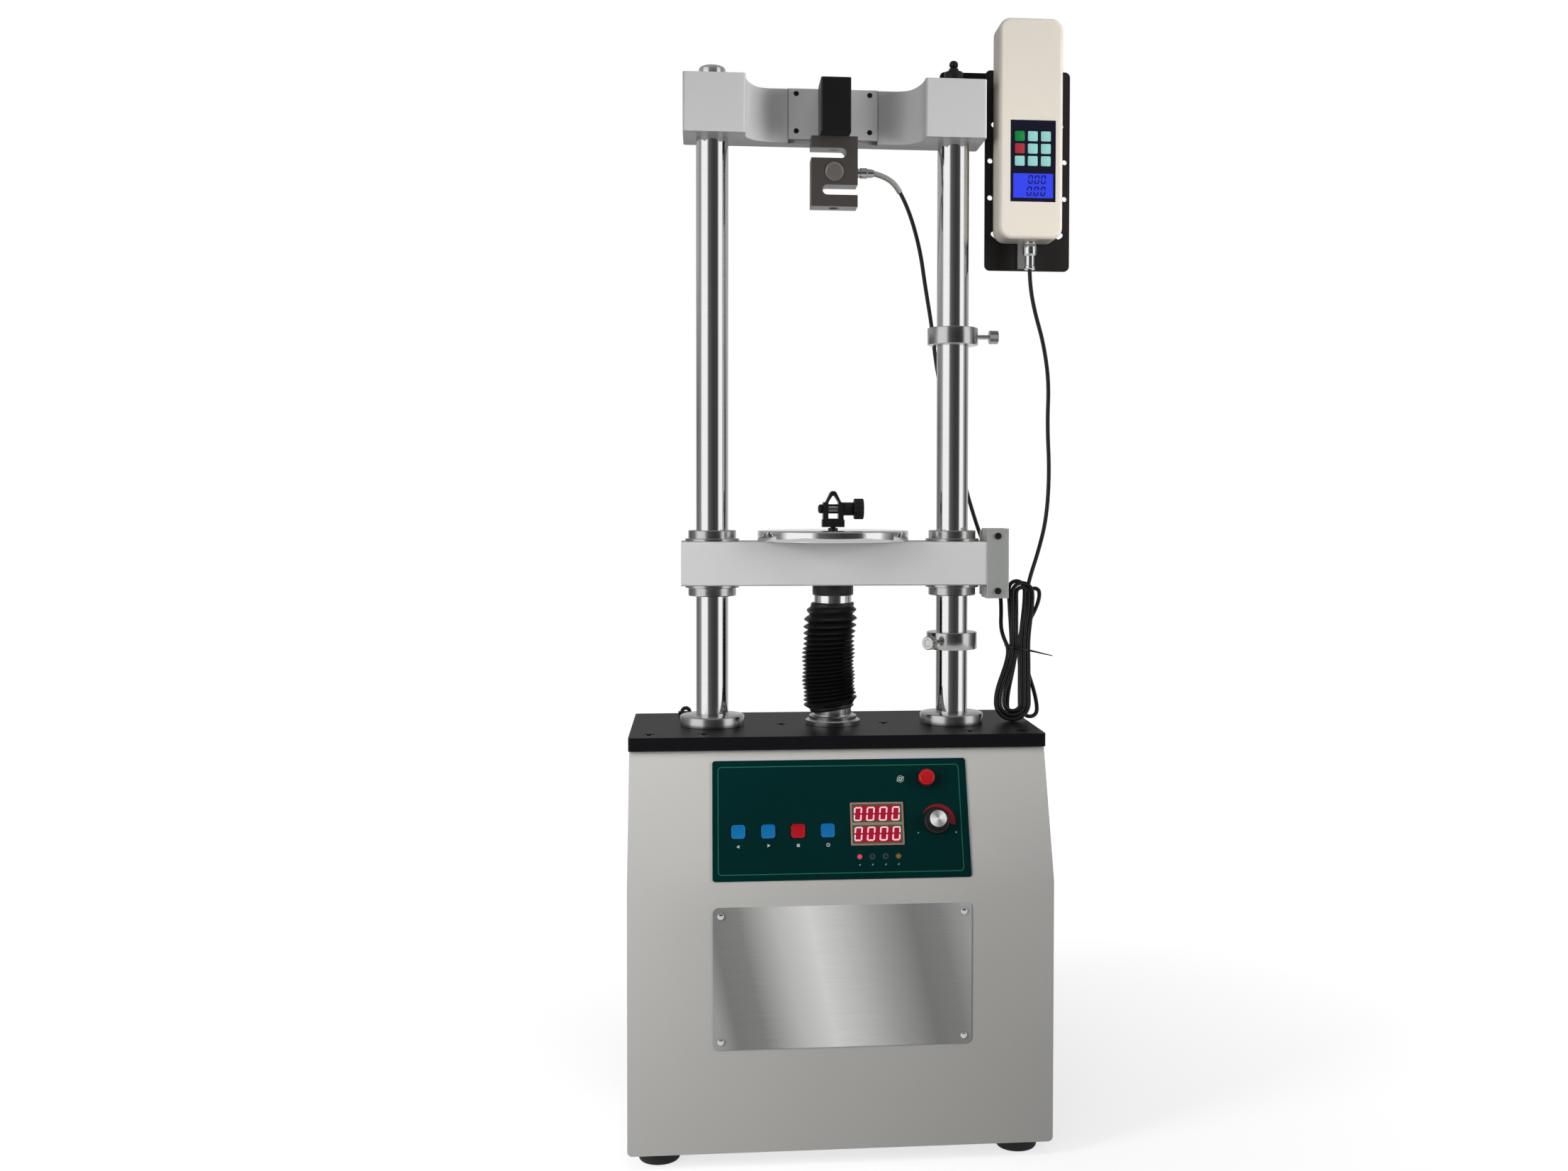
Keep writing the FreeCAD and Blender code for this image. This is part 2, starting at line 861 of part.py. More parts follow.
def head_plan():
    # Plan of the top crosshead: two end blocks with the middle swept back in large arcs.
    z = head_bottom_z
    left = -head_half_width
    inner = head_block_inner_x
    arc_x = inner - head_arc_radius
    arc_y = head_middle_y - head_arc_radius
    diagonal = head_arc_radius * math.sqrt(0.5)
    points = [
        Vector(left, head_back_y, z),
        Vector(left, head_front_y, z),
        Vector(-inner, head_front_y, z),
        Vector(-inner, arc_y, z),
        Vector(-arc_x, head_middle_y, z),
        Vector(arc_x, head_middle_y, z),
        Vector(inner, arc_y, z),
        Vector(inner, head_front_y, z),
        Vector(-left, head_front_y, z),
        Vector(-left, head_back_y, z),
    ]
    middles = {
        3: Vector(-arc_x - diagonal, arc_y + diagonal, z),
        5: Vector(arc_x + diagonal, arc_y + diagonal, z),
    }
    edges = []
    for index, start in enumerate(points):
        end = points[(index + 1) % len(points)]
        if index in middles:
            edges.append(Part.Arc(start, middles[index], end).toShape())
        else:
            edges.append(Part.LineSegment(start, end).toShape())
    return Part.Face(Part.Wire(edges))


def head_relief():
    # What is taken off the top of the middle, with a long ramp up to each end block.
    low = head_top_z - head_middle_drop
    high = head_top_z + 20
    rise = math.sqrt(head_ramp_radius ** 2 - (head_ramp_radius - head_middle_drop) ** 2)
    reach = head_ramp_x + rise
    half_turn = math.asin(rise / head_ramp_radius) / 2
    sag = head_ramp_radius * (1 - math.cos(half_turn))
    along = head_ramp_radius * math.sin(half_turn)
    points = [
        Vector(-head_ramp_x, 0, low),
        Vector(head_ramp_x, 0, low),
        Vector(reach, 0, head_top_z),
        Vector(reach, 0, high),
        Vector(-reach, 0, high),
        Vector(-reach, 0, head_top_z),
    ]
    edges = [
        Part.LineSegment(points[0], points[1]).toShape(),
        Part.Arc(points[1], Vector(head_ramp_x + along, 0, low + sag), points[2]).toShape(),
        Part.LineSegment(points[2], points[3]).toShape(),
        Part.LineSegment(points[3], points[4]).toShape(),
        Part.LineSegment(points[4], points[5]).toShape(),
        Part.Arc(points[5], Vector(-head_ramp_x - along, 0, low + sag), points[0]).toShape(),
    ]
    relief = Part.Face(Part.Wire(edges)).extrude(Vector(0, head_back_y - head_front_y + 2, 0))
    relief.translate(Vector(0, head_front_y - 1, 0))
    return relief


def top_crosshead():
    body = head_plan().extrude(Vector(0, 0, head_top_z - head_bottom_z))
    ends = edges_along(body, Vector(0, 0, 1), lambda centre: abs(centre.x) > head_block_inner_x - 1 and centre.y < head_front_y + 1)
    ends += edges_along(body, Vector(0, 0, 1), lambda centre: centre.y > head_back_y - 1)
    body = body.makeFillet(head_corner, ends)
    body = body.cut(head_relief())
    pocket = box(
        -arm_plate_half, arm_plate_half, head_middle_y - 1, mount_plate_back_y, head_bottom_z - 1, head_top_z + 1
    )
    cutters = [pocket]
    for x in (-column_x, column_x):
        cutters.append(rod(column_radius, x, 0, head_bottom_z - 1, head_land_z))
        cutters.append(rod(column_stud, x, 0, head_land_z - 1, head_top_z + 1))
    plate_front = head_middle_y - arm_plate_proud
    cutters += [depth_rod(arm_screw_radius, x, plate_front, plate_front + 16.5, z) for x, z in arm_screw_places()]
    return cut_all(body, cutters)


def arm_mount_plate():
    front = head_middle_y - arm_plate_proud
    plate = box(
        -arm_plate_half, arm_plate_half, front, mount_plate_back_y,
        head_bottom_z + arm_plate_lift, head_top_z - head_middle_drop,
    )
    return cut_all(plate, [depth_rod(arm_screw_radius, x, front - 1, front + 16, z) for x, z in arm_screw_places()])


def load_arm():
    back = head_middle_y - arm_plate_proud
    arm = box(-arm_half_width, arm_half_width, arm_front_y, back, cell_top_z, arm_top_z)
    front_edges = edges_along(arm, Vector(0, 0, 1), lambda centre: centre.y < arm_front_y + 1)
    arm = arm.makeChamfer(arm_edge, front_edges)
    stud = rod(cell_thread, 0, 0, cell_top_z - (cell_height / 2 - cell_slot_offset - cell_slot / 2), cell_top_z)
    return fuse_all([arm, stud])


def cell_slot_cutter(side):
    # Slot that runs in from one side and ends in a half round.
    z = cell_top_z - cell_height / 2 - side * cell_slot_offset
    deep = cell_depth / 2 + 1
    centre = cell_slot_reach - cell_slot / 2
    slot = box(-cell_width / 2 - 1, centre, -deep, deep, z - cell_slot / 2, z + cell_slot / 2)
    slot = slot.fuse(depth_rod(cell_slot / 2, centre, -deep, deep, z))
    return mirrored_x(slot) if side > 0 else slot


def load_cell():
    low = cell_top_z - cell_height
    half = cell_width / 2
    deep = cell_depth / 2
    body = box(-half, half, -deep, deep, low, cell_top_z)
    cutters = [cell_slot_cutter(-1), cell_slot_cutter(1)]
    limb = cell_height / 2 - cell_slot_offset - cell_slot / 2
    cutters.append(rod(cell_thread, 0, 0, cell_top_z - limb - 1, cell_top_z + 1))
    cutters.append(rod(cell_thread, 0, 0, low - 1, low + limb + 1))
    mouth = cell_thread_mouth - cell_thread
    cutters.append(Part.makeCone(cell_thread_mouth, cell_thread, mouth, Vector(0, 0, low)))
    middle = cell_top_z - cell_height / 2
    for face in (-deep, deep):
        groove = depth_rod(cell_disc_radius, 0, face - cell_disc_groove, face + cell_disc_groove, middle)
        island = depth_rod(cell_disc_radius - 1.2, 0, face - cell_disc_groove, face + cell_disc_groove, middle)
        cutters.append(groove.cut(island))
    return cut_all(body, cutters)


def cell_gland():
    start = cell_width / 2
    end = start + gland_length
    bore = cable_diameter / 2
    profile = [
        (bore, start),
        (gland_radius, start),
        (gland_radius, start + 1.5),
        (gland_radius - 1, start + 1.5),
        (gland_radius - 1, start + 3.5),
        (gland_radius, start + 3.5),
        (gland_radius, start + 11),
        (gland_radius - 1, start + 12),
        (gland_radius - 1.2, start + 16),
        (gland_nose, end),
        (bore, end),
    ]
    return turned_along_x(profile, 0, gland_z)


# Moving crosshead with what rides on it

def moving_crosshead():
    body = box(
        -moving_half_width, moving_half_width, -moving_half_depth, moving_half_depth, moving_bottom_z, moving_top_z
    )
    body = body.makeChamfer(moving_edge, edges_along(body, Vector(1, 0, 0), lambda centre: True))
    cutters = [rod(bush_body, x, 0, moving_bottom_z - 1, moving_top_z + 1) for x in (-column_x, column_x)]
    cutters.append(rod(column_stud, 0, 0, moving_bottom_z - 1, moving_bottom_z + 30))
    cutters.append(rod(stud_radius, 0, 0, moving_top_z - 12, moving_top_z + 1))
    return cut_all(body, cutters)


def bush(x, side):
    # Flanged bush with its wiper ring; side is 1 on the top face and -1 on the underside.
    face = moving_top_z if side > 0 else moving_bottom_z
    inward = moving_height / 2 - 1
    profile = [
        (bush_bore, face - side * inward),
        (bush_body, face - side * inward),
        (bush_body, face),
        (bush_flange, face),
        (bush_flange, face + side * bush_flange_thickness),
        (bush_ring, face + side * bush_flange_thickness),
        (bush_ring, face + side * (bush_flange_thickness + bush_ring_height)),
        (bush_bore + 2.5, face + side * (bush_flange_thickness + bush_ring_height)),
        (bush_bore, face + side * (bush_flange_thickness + bush_ring_height - 2)),
    ]
    return turned(profile, x, 0)


def column_bushes():
    return group([bush(x, side) for x in (-column_x, column_x) for side in (-1, 1)])


def ram_boss_piece():
    profile = [
        (column_stud, ram_top_z),
        (ram_boss - 1.5, ram_top_z),
        (ram_boss, ram_top_z + 1.5),
        (ram_boss, moving_bottom_z),
        (column_stud, moving_bottom_z),
    ]
    return turned(profile, 0, 0)


def ram_tube():
    profile = [
        (ram_bore, ram_bottom_z),
        (ram_radius, ram_bottom_z),
        (ram_radius, ram_top_z - ram_collar_height),
        (ram_collar, ram_top_z - ram_collar_height),
        (ram_collar, ram_top_z),
        (column_stud, ram_top_z),
        (column_stud, moving_bottom_z + 28),
        (0, moving_bottom_z + 28),
        (0, ram_top_z - ram_collar_height),
        (ram_bore, ram_top_z - ram_collar_height),
    ]
    return turned(profile, 0, 0)


def ram_nut():
    bore = screw_radius + slide_clearance
    profile = [
        (bore, ram_bottom_z - nut_flange_height),
        (nut_flange, ram_bottom_z - nut_flange_height),
        (nut_flange, ram_bottom_z),
        (ram_bore, ram_bottom_z),
        (ram_bore, ram_bottom_z + nut_body_height),
        (bore, ram_bottom_z + nut_body_height),
    ]
    return turned(profile, 0, 0)


def platen():
    top = platen_top_z
    profile = [
        (stud_radius, moving_top_z),
        (platen_radius - 0.8, moving_top_z),
        (platen_radius, moving_top_z + 0.8),
        (platen_radius, top - platen_edge),
        (platen_radius - platen_edge * 0.3, top - platen_edge * 0.3),
        (platen_radius - platen_edge, top),
        (stud_radius, top),
    ]
    return turned(profile, 0, 0)


def grip_outline():
    # Outline of the yoke in the XZ plane: base block, two arms and the pointed arch.
    tip = 3.2
    neck = grip_arm_half - 2.7
    right = [
        (grip_base_half, grip_base_z),
        (grip_base_half, grip_base_z + grip_base_height),
        (grip_arm_half, grip_base_z + grip_base_height),
        (grip_arm_half, grip_shoulder_z),
        (neck, grip_shoulder_z),
        (tip, grip_apex_z - 1.5),
        (tip * 0.4, grip_apex_z),
    ]
    return right + [(-x, z) for x, z in reversed(right)]


def grip_opening():
    high = grip_apex_z - grip_band
    right = [
        (grip_gap_half, grip_base_z + grip_base_height + 1),
        (grip_gap_half, grip_shoulder_z),
        (1.2, high),
    ]
    return right + [(-x, z) for x, z in reversed(right)]


def grip_yoke():
    front = -grip_depth / 2
    body = polygon_solid([(x, front, z) for x, z in grip_outline()], (0, grip_depth, 0))
    opening = polygon_solid([(x, front - 1, z) for x, z in grip_opening()], (0, grip_depth + 2, 0))
    body = body.cut(opening)
    body = body.cut(cross_rod(spindle_radius + slide_clearance, -grip_base_half, grip_base_half, 0, spindle_z))
    stud = rod(stud_radius, 0, 0, moving_top_z - 10, grip_base_z)
    lock_nut = rod(stud_radius * 1.8, 0, 0, platen_top_z, platen_top_z + 2.6)
    return fuse_all([body, stud, lock_nut])


def lobed_disc(radius, lobes, depth, x0, x1, y, z):
    # Disc on an axis along X with shallow grip flutes round its rim.
    disc = cross_rod(radius, x0, x1, y, z)
    for index in range(lobes):
        angle = 2 * math.pi * index / lobes
        flute = cross_rod(
            depth * 1.6, x0 - 1, x1 + 1, y + (radius + depth * 0.6) * math.cos(angle),
            z + (radius + depth * 0.6) * math.sin(angle),
        )
        disc = disc.cut(flute)
    return disc


def grip_knob():
    arm = grip_arm_half + seat_gap
    spindle = cross_rod(spindle_radius, -arm, arm + 1, 0, spindle_z)
    acorn = turned_along_x(
        [(0, -arm), (acorn_radius, -arm), (acorn_radius, -arm - acorn_length * 0.6),
         (acorn_radius * 0.5, -arm - acorn_length), (0, -arm - acorn_length)], 0, spindle_z)
    hub_end = arm + knob_hub_length
    hub = cross_rod(knob_hub_radius, arm, hub_end, 0, spindle_z)
    rim = lobed_disc(knob_radius, knob_lobes, 0.8, hub_end, hub_end + knob_length, 0, spindle_z)
    return fuse_all([spindle, acorn, hub, rim])


def limit_housing():
    left = moving_half_width
    right = left + limit_width
    front = -moving_half_depth - 1
    back = front + limit_depth
    top = limit_bottom_z + limit_height
    outer = round_box(left, right, front, back, limit_bottom_z, top, 1.2, Vector(0, 0, 1))
    hollow = box(
        left + limit_wall, right - limit_wall, front + limit_wall, back + 1,
        limit_bottom_z + limit_wall, top - limit_wall,
    )
    shell = outer.cut(hollow)
    middle = left + limit_width / 2
    screws = []
    for z in (limit_bottom_z + limit_screw_inset, top - limit_screw_inset):
        screws.append(depth_rod(limit_screw_radius, middle, front - 0.4, front + 8, z))
    return fuse_all([shell] + screws)


def limit_switch():
    left = moving_half_width
    front = -moving_half_depth - 1 + limit_depth
    base = box(left, left + limit_width - 1.5, front, front + switch_depth, limit_bottom_z + 2,
               limit_bottom_z + limit_height - 2)
    block = box(left + limit_wall + 2, left + limit_width - limit_wall - 2, front - 18, front,
                limit_bottom_z + 24, limit_bottom_z + limit_height - 24)
    return fuse_all([base, block])


def ram_bellows():
    # Pleated gaiter that fits over the ram's collar at the top and the guide's neck at the bottom.
    low = bellows_bottom_z
    high = bellows_top_z
    pitch = (high - low - 2 * bellows_cuff) / bellows_pleats
    inner = ram_collar + 0.3
    outside = [(inner, low), (bellows_root, low), (bellows_root, low + bellows_cuff)]
    for index in range(bellows_pleats):
        start = low + bellows_cuff + index * pitch
        outside.append((bellows_crest, start + pitch / 2))
        outside.append((bellows_root, start + pitch))
    outside += [(bellows_root, high), (inner, high)]
    return turned(outside, 0, 0)


# Screw drive under the base plate

def ram_guide():
    bore = ram_radius + slide_clearance
    flange_top = plate_top_z + guide_flange_height
    gland_top = flange_top + guide_gland_height
    profile = [
        (bore, guide_bottom_z),
        (guide_body, guide_bottom_z),
        (guide_body, plate_top_z),
        (guide_flange, plate_top_z),
        (guide_flange, flange_top - 0.6),
        (guide_flange - 0.6, flange_top),
        (guide_gland, flange_top),
        (guide_gland, gland_top - 1),
        (guide_gland - 1, gland_top),
        (guide_neck, gland_top),
        (guide_neck, guide_top_z),
        (bore, guide_top_z),
    ]
    return turned(profile, 0, 0)


def ram_housing():
    top = case_top_z
    flange = round_box(
        -drive_screw_x - housing_flange_reach, drive_screw_x + housing_flange_reach,
        -housing_outer - housing_flange_side, housing_outer + housing_flange_side,
        top - housing_flange_height, top, housing_flange_corner, Vector(0, 0, 1),
    )
    tube = rod(housing_outer, 0, 0, drive_plate_top_z, top)
    body = fuse_all([flange, tube])
    body = body.cut(rod(housing_inner, 0, 0, drive_plate_top_z - 1, top + 1))
    return cut_all(body, [rod(plate_screw_shank, x, 0, top - housing_flange_height - 1, top + 1)
                          for x in (-drive_screw_x, drive_screw_x)])


def drive_plate():
    # Cast plate under the ram housing with the hub of the screw bearings, and the motor seat.
    half = drive_plate_depth / 2
    right = motor_x + half
    plate = round_box(
        -half, right, -half, half, drive_plate_bottom_z, drive_plate_top_z, 20, Vector(0, 0, 1)
    )
    hub = rod(hub_radius, 0, 0, bearing_bottom_z - hub_lip, drive_plate_bottom_z)
    body = fuse_all([plate, hub])
    cutters = [
        rod(bearing_outer, 0, 0, bearing_bottom_z, drive_plate_bottom_z),
        rod(bearing_outer - 3, 0, 0, bearing_bottom_z - hub_lip - 1, bearing_bottom_z),
        rod(screw_shoulder + 1, 0, 0, drive_plate_bottom_z - 1, drive_plate_top_z + 1),
        rod(motor_shaft * 2, motor_x, 0, drive_plate_bottom_z - 1, drive_plate_top_z + 1),
    ]
    return cut_all(body, cutters)


def screw_bearings():
    made = []
    for index in range(bearing_count):
        low = bearing_bottom_z + index * bearing_width
        profile = [
            (journal_radius + slide_clearance, low),
            (bearing_outer - 0.4, low),
            (bearing_outer, low + 0.4),
            (bearing_outer, low + bearing_width - 0.4),
            (bearing_outer - 0.4, low + bearing_width),
            (journal_radius + slide_clearance, low + bearing_width),
        ]
        made.append(turned(profile, 0, 0))
    return group(made)


def lead_screw():
    profile = [
        (0, pulley_bottom_z - 2),
        (journal_radius - 1, pulley_bottom_z - 2),
        (journal_radius, pulley_bottom_z - 1),
        (journal_radius, drive_plate_bottom_z + slide_clearance),
        (screw_shoulder, drive_plate_bottom_z + slide_clearance),
        (screw_shoulder, screw_thread_z),
        (screw_radius, screw_thread_z),
        (screw_radius, screw_top_z - 1),
        (screw_radius - 1, screw_top_z),
        (0, screw_top_z),
    ]
    return turned(profile, 0, 0)


def pulley_radius(teeth):
    return teeth * belt_pitch / (2 * math.pi)


def toothed_pulley(teeth, bore, x):
    # Timing pulley: trapezoid teeth between two flanges.
    tip = pulley_radius(teeth)
    root = tip - tooth_depth
    points = []
    for index in range(teeth):
        middle = 2 * math.pi * index / teeth
        step = 2 * math.pi / teeth
        for radius, share in ((root, -0.30), (tip, -0.20), (tip, 0.20), (root, 0.30)):
            angle = middle + share * step
            points.append((x + radius * math.cos(angle), radius * math.sin(angle), pulley_bottom_z))
    body = polygon_solid(points, (0, 0, pulley_width))
    rim = tip + pulley_flange_reach
    low = rod(rim, x, 0, pulley_bottom_z, pulley_bottom_z + pulley_flange)
    top = pulley_bottom_z + pulley_width
    high = rod(rim, x, 0, top - pulley_flange, top)
    return fuse_all([body, low, high]).cut(rod(bore, x, 0, pulley_bottom_z - 1, top + 1))


def motor_pulley():
    pulley = toothed_pulley(motor_teeth, motor_shaft - 1, motor_x)
    shaft = rod(motor_shaft, motor_x, 0, pulley_bottom_z + pulley_width, drive_plate_top_z)
    core = rod(motor_shaft - 1, motor_x, 0, pulley_bottom_z - 1, pulley_bottom_z + pulley_width)
    return fuse_all([pulley, shaft, core])


def belt_loop(extra, low, high):
    # Solid bounded by the outer tangents round both pulleys.
    big = pulley_radius(screw_teeth) + extra
    small = pulley_radius(motor_teeth) + extra
    lean = math.acos((big - small) / motor_x)
    z = low
    cos_lean = math.cos(lean)
    sin_lean = math.sin(lean)
    points = [
        (big * cos_lean, big * sin_lean, z),
        (motor_x + small * cos_lean, small * sin_lean, z),
        (motor_x + small * cos_lean, -small * sin_lean, z),
        (big * cos_lean, -big * sin_lean, z),
    ]
    web = polygon_solid(points, (0, 0, high - low))
    return fuse_all([web, rod(big, 0, 0, low, high), rod(small, motor_x, 0, low, high)])


def drive_belt():
    low = pulley_bottom_z + pulley_flange + belt_clearance
    high = pulley_bottom_z + pulley_width - pulley_flange - belt_clearance
    outer = belt_loop(belt_clearance + belt_thickness, low, high)
    inner = belt_loop(belt_clearance, low - 1, high + 1)
    return outer.cut(inner)


def drive_motor():
    low = drive_plate_top_z
    gearbox = rod(gearbox_radius, motor_x, 0, low, low + gearbox_length)
    body = rod(motor_radius, motor_x, 0, low + gearbox_length, low + gearbox_length + motor_length)
    top = low + gearbox_length + motor_length
    cap = rod(motor_radius - motor_cap_step, motor_x, 0, top, top + motor_cap_height)
    half = terminal_width / 2
    terminal_top = top - terminal_drop
    terminal = box(motor_x - half, motor_x + half, motor_radius * 0.85, motor_radius + terminal_reach,
                   terminal_top - terminal_height, terminal_top)
    hollow = rod(motor_shaft + 0.2, motor_x, 0, low - 1, low + 1)
    return fuse_all([gearbox, body, cap, terminal]).cut(hollow)


# Stop collars with their thumb screws

def collar(low):
    profile = [
        (column_radius + slide_clearance, low),
        (collar_radius - 1, low),
        (collar_radius, low + 1),
        (collar_radius, low + collar_height - 1),
        (collar_radius - 1, low + collar_height),
        (column_radius + slide_clearance, low + collar_height),
    ]
    return turned(profile, column_x, 0)


def thumb_screw(low, turn):
    # Screw through the collar's wall, pointing outwards at the given turn about the column.
    tip = column_radius + thumb_tip_gap
    under_head = collar_radius + thumb_reach
    shaft = cross_rod(thumb_shaft, tip, under_head, 0, 0)
    head = cross_rod(thumb_head, under_head, under_head + thumb_head_length, 0, 0)
    head = head.makeChamfer(0.8, [edge for edge in head.Edges if edge.Curve.TypeId == "Part::GeomCircle"])
    screw = fuse_all([shaft, head])
    screw.Placement = Placement(
        Vector(column_x, 0, low + collar_height / 2), Rotation(Vector(0, 0, 1), turn)
    )
    return screw


def collar_with_hole(low, turn):
    hole = cross_rod(thumb_shaft + slide_clearance, column_radius - 2, collar_radius + 2, 0, 0)
    hole.Placement = Placement(
        Vector(column_x, 0, low + collar_height / 2), Rotation(Vector(0, 0, 1), turn)
    )
    return collar(low).cut(hole)


# Control panel

def control_panel():
    half = panel_width / 2
    plate = round_box(
        -half, half, -panel_drop - panel_length, -panel_drop, 0, panel_thickness, panel_corner, Vector(0, 0, 1)
    )
    return cut_all(on_slope(plate), panel_cutouts(12))


def panel_button(index):
    x = button_first_x + index * button_pitch
    half = button_size / 2
    top = panel_thickness + button_proud
    cap = box(x - half, x + half, -button_drop - half, -button_drop + half, -case_wall - 3, top)
    cap = cap.makeFillet(1.5, edges_along(cap, Vector(0, 0, 1), lambda centre: True))
    cap = cap.makeChamfer(0.5, [edge for edge in cap.Edges if edge.CenterOfMass.z > top - 0.01])
    lip = half + button_lip
    under = -case_wall - seat_gap
    rim = box(x - lip, x + lip, -button_drop - lip, -button_drop + lip, under - 1.2, under)
    stem = rod(2.0, x, -button_drop, -board_gap + button_stem + button_travel + 0.2, under - 1)
    return on_slope(fuse_all([cap, rim, stem]))


def stop_button():
    skirt = panel_thickness + stop_travel + seat_gap
    top = skirt + stop_height
    head = rod(stop_radius, stop_x, -stop_drop, skirt, top)
    head = head.makeFillet(1.6, [edge for edge in head.Edges if edge.CenterOfMass.z > top - 0.01])
    stem = rod(stop_stem, stop_x, -stop_drop, -board_gap + stop_travel + 3, skirt)
    return on_slope(fuse_all([head, stem]))


def speed_knob():
    low = panel_thickness + seat_gap
    skirt = Part.makeCone(speed_skirt, speed_skirt - 1.6, speed_skirt_height, Vector(speed_x, -speed_drop, low))
    cap = rod(speed_cap, speed_x, -speed_drop, low + speed_skirt_height, low + speed_height)
    cap = cap.makeChamfer(0.8, [edge for edge in cap.Edges if edge.CenterOfMass.z > low + speed_height - 0.01])
    shaft = rod(speed_shaft, speed_x, -speed_drop, -board_gap + 8.3, low)
    pointer = box(speed_x - 0.8, speed_x + 0.8, -speed_drop + speed_cap - 0.6, -speed_drop + speed_skirt - 2.2,
                  low + speed_skirt_height - 0.8, low + speed_skirt_height + 1.2)
    return on_slope(fuse_all([skirt, cap, shaft, pointer]))


def display_module():
    # Two rows of digits in one block, with a rim round each row.
    block = window_opening(0.2, -board_gap, panel_thickness + window_proud)
    split = (window_top + window_bottom) / 2
    for top, bottom in ((window_top, split), (split, window_bottom)):
        recess = box(window_left + 3.5, window_right - 3.5, -bottom + 3, -top - 3,
                     panel_thickness, panel_thickness + window_proud + 1)
        block = block.cut(recess)
    return block


def control_board():
    half = panel_width / 2 - 8
    low = -board_gap - board_thickness
    board = box(-half, half, -panel_drop - panel_length + panel_back_edge / 2, -panel_drop - panel_back_edge, low, -board_gap)
    parts = [board, display_module()]
    for index in range(button_count):
        x = button_first_x + index * button_pitch
        parts.append(box(x - 6, x + 6, -button_drop - 6, -button_drop + 6, -board_gap, -board_gap + button_stem))
    parts.append(box(speed_x - 9, speed_x + 9, -speed_drop - 10, -speed_drop + 9, -board_gap, -board_gap + 8))
    parts.append(box(stop_x - 8, stop_x + 8, -stop_drop - 8, -stop_drop + 8, -board_gap, -board_gap + 2.8))
    for x in (-half + 5, half - 5):
        for drop in (panel_drop + 18, panel_drop + panel_length - 11):
            parts.append(rod(3, x, -drop, -board_gap, -case_wall))
    return on_slope(fuse_all(parts))


def nameplate():
    half = nameplate_width / 2
    low = nameplate_centre_z - nameplate_height / 2
    plate = round_box(
        -half, half, case_front_y - nameplate_thickness, case_front_y, low, low + nameplate_height,
        nameplate_corner, Vector(0, 1, 0),
    )
    holes = []
    for x, z in nameplate_screw_places():
        holes.append(depth_rod(nameplate_screw_head / 2, x, case_front_y - 3, case_front_y + 1, z))
    return cut_all(plate, holes)


# Back of the cabinet and the power supply

def power_inlet():
    # Switched inlet in one moulding: the flanged socket below and the rocker's well above.
    face = case_back_y + cover_thickness
    half = inlet_width / 2
    flange = round_box(
        inlet_x - half, inlet_x + half, face, face + 2.5, inlet_low_z, inlet_top_z, 3, Vector(0, 1, 0)
    )
    half -= inlet_flange
    well = box(inlet_x - half, inlet_x + half, face - inlet_depth, face,
               inlet_low_z + inlet_flange, inlet_top_z - inlet_flange)
    body = fuse_all([flange, well])
    rocker_z = inlet_z + rocker_rise
    half_rocker = rocker_width / 2 + 0.1
    cutters = [
        box(inlet_x - 12, inlet_x + 12, face - 16, face + 3, inlet_z - 8, inlet_z + 8),
        box(inlet_x - half_rocker, inlet_x + half_rocker, rocker_pivot_y - 9, face + 3,
            rocker_z - rocker_height / 2 - 1.7, rocker_z + rocker_height / 2 + 1.7),
        cross_rod(1.5 + slide_clearance, inlet_x - rocker_width / 2 - 2.5, inlet_x + rocker_width / 2 + 2.5,
                  rocker_pivot_y, rocker_z),
    ]
    pins = []
    for x in (inlet_x - 7, inlet_x, inlet_x + 7):
        rise = 2.5 if x == inlet_x else -1.5
        pins.append(box(x - 1, x + 1, face - 17, face - 3, inlet_z + rise - 2, inlet_z + rise + 2))
    return fuse_all([cut_all(body, cutters)] + pins)


def power_rocker():
    # Rocker with a shallow vee face, on a pivot across X in the inlet's upper well.
    y = rocker_pivot_y
    rocker_z = inlet_z + rocker_rise
    left = inlet_x - rocker_width / 2 + 0.4
    rise = rocker_height / 2
    face = case_back_y + cover_thickness + 1.5
    points = [
        (left, y - 3, rocker_z - 2),
        (left, face + 1.6, rocker_z - rise + 0.6),
        (left, face, rocker_z),
        (left, face + 0.2, rocker_z + rise - 1.2),
        (left, y - 3, rocker_z + 2),
    ]
    body = polygon_solid(points, (rocker_width - 0.8, 0, 0))
    pin = cross_rod(1.5, inlet_x - rocker_width / 2 - 2, inlet_x + rocker_width / 2 + 2, y, rocker_z)
    return fuse_all([body, pin])


def power_supply():
    low = case_bottom_z + case_wall
    base = low + supply_lift
    left = supply_left_x
    front = supply_front_y
    body = box(left, left + supply_width, front, front + supply_length, base, base + supply_height)
    shelf = box(left + 2, left + supply_width - 2, front - 1, front + 16, base + 14, base + supply_height + 1)
    body = body.cut(shelf)
    terminals = []
    for index in range(5):
        x = left + 8 + index * 17
        terminals.append(box(x, x + 13, front + 1, front + 14, base + 14, base + 24))
    posts = []
    for x in (left + 8, left + supply_width - 8):
        for y in (front + 24, front + supply_length - 10):
            posts.append(rod(3, x, y, low, base))
    return fuse_all([body] + terminals + posts)


# Gauge with its bracket

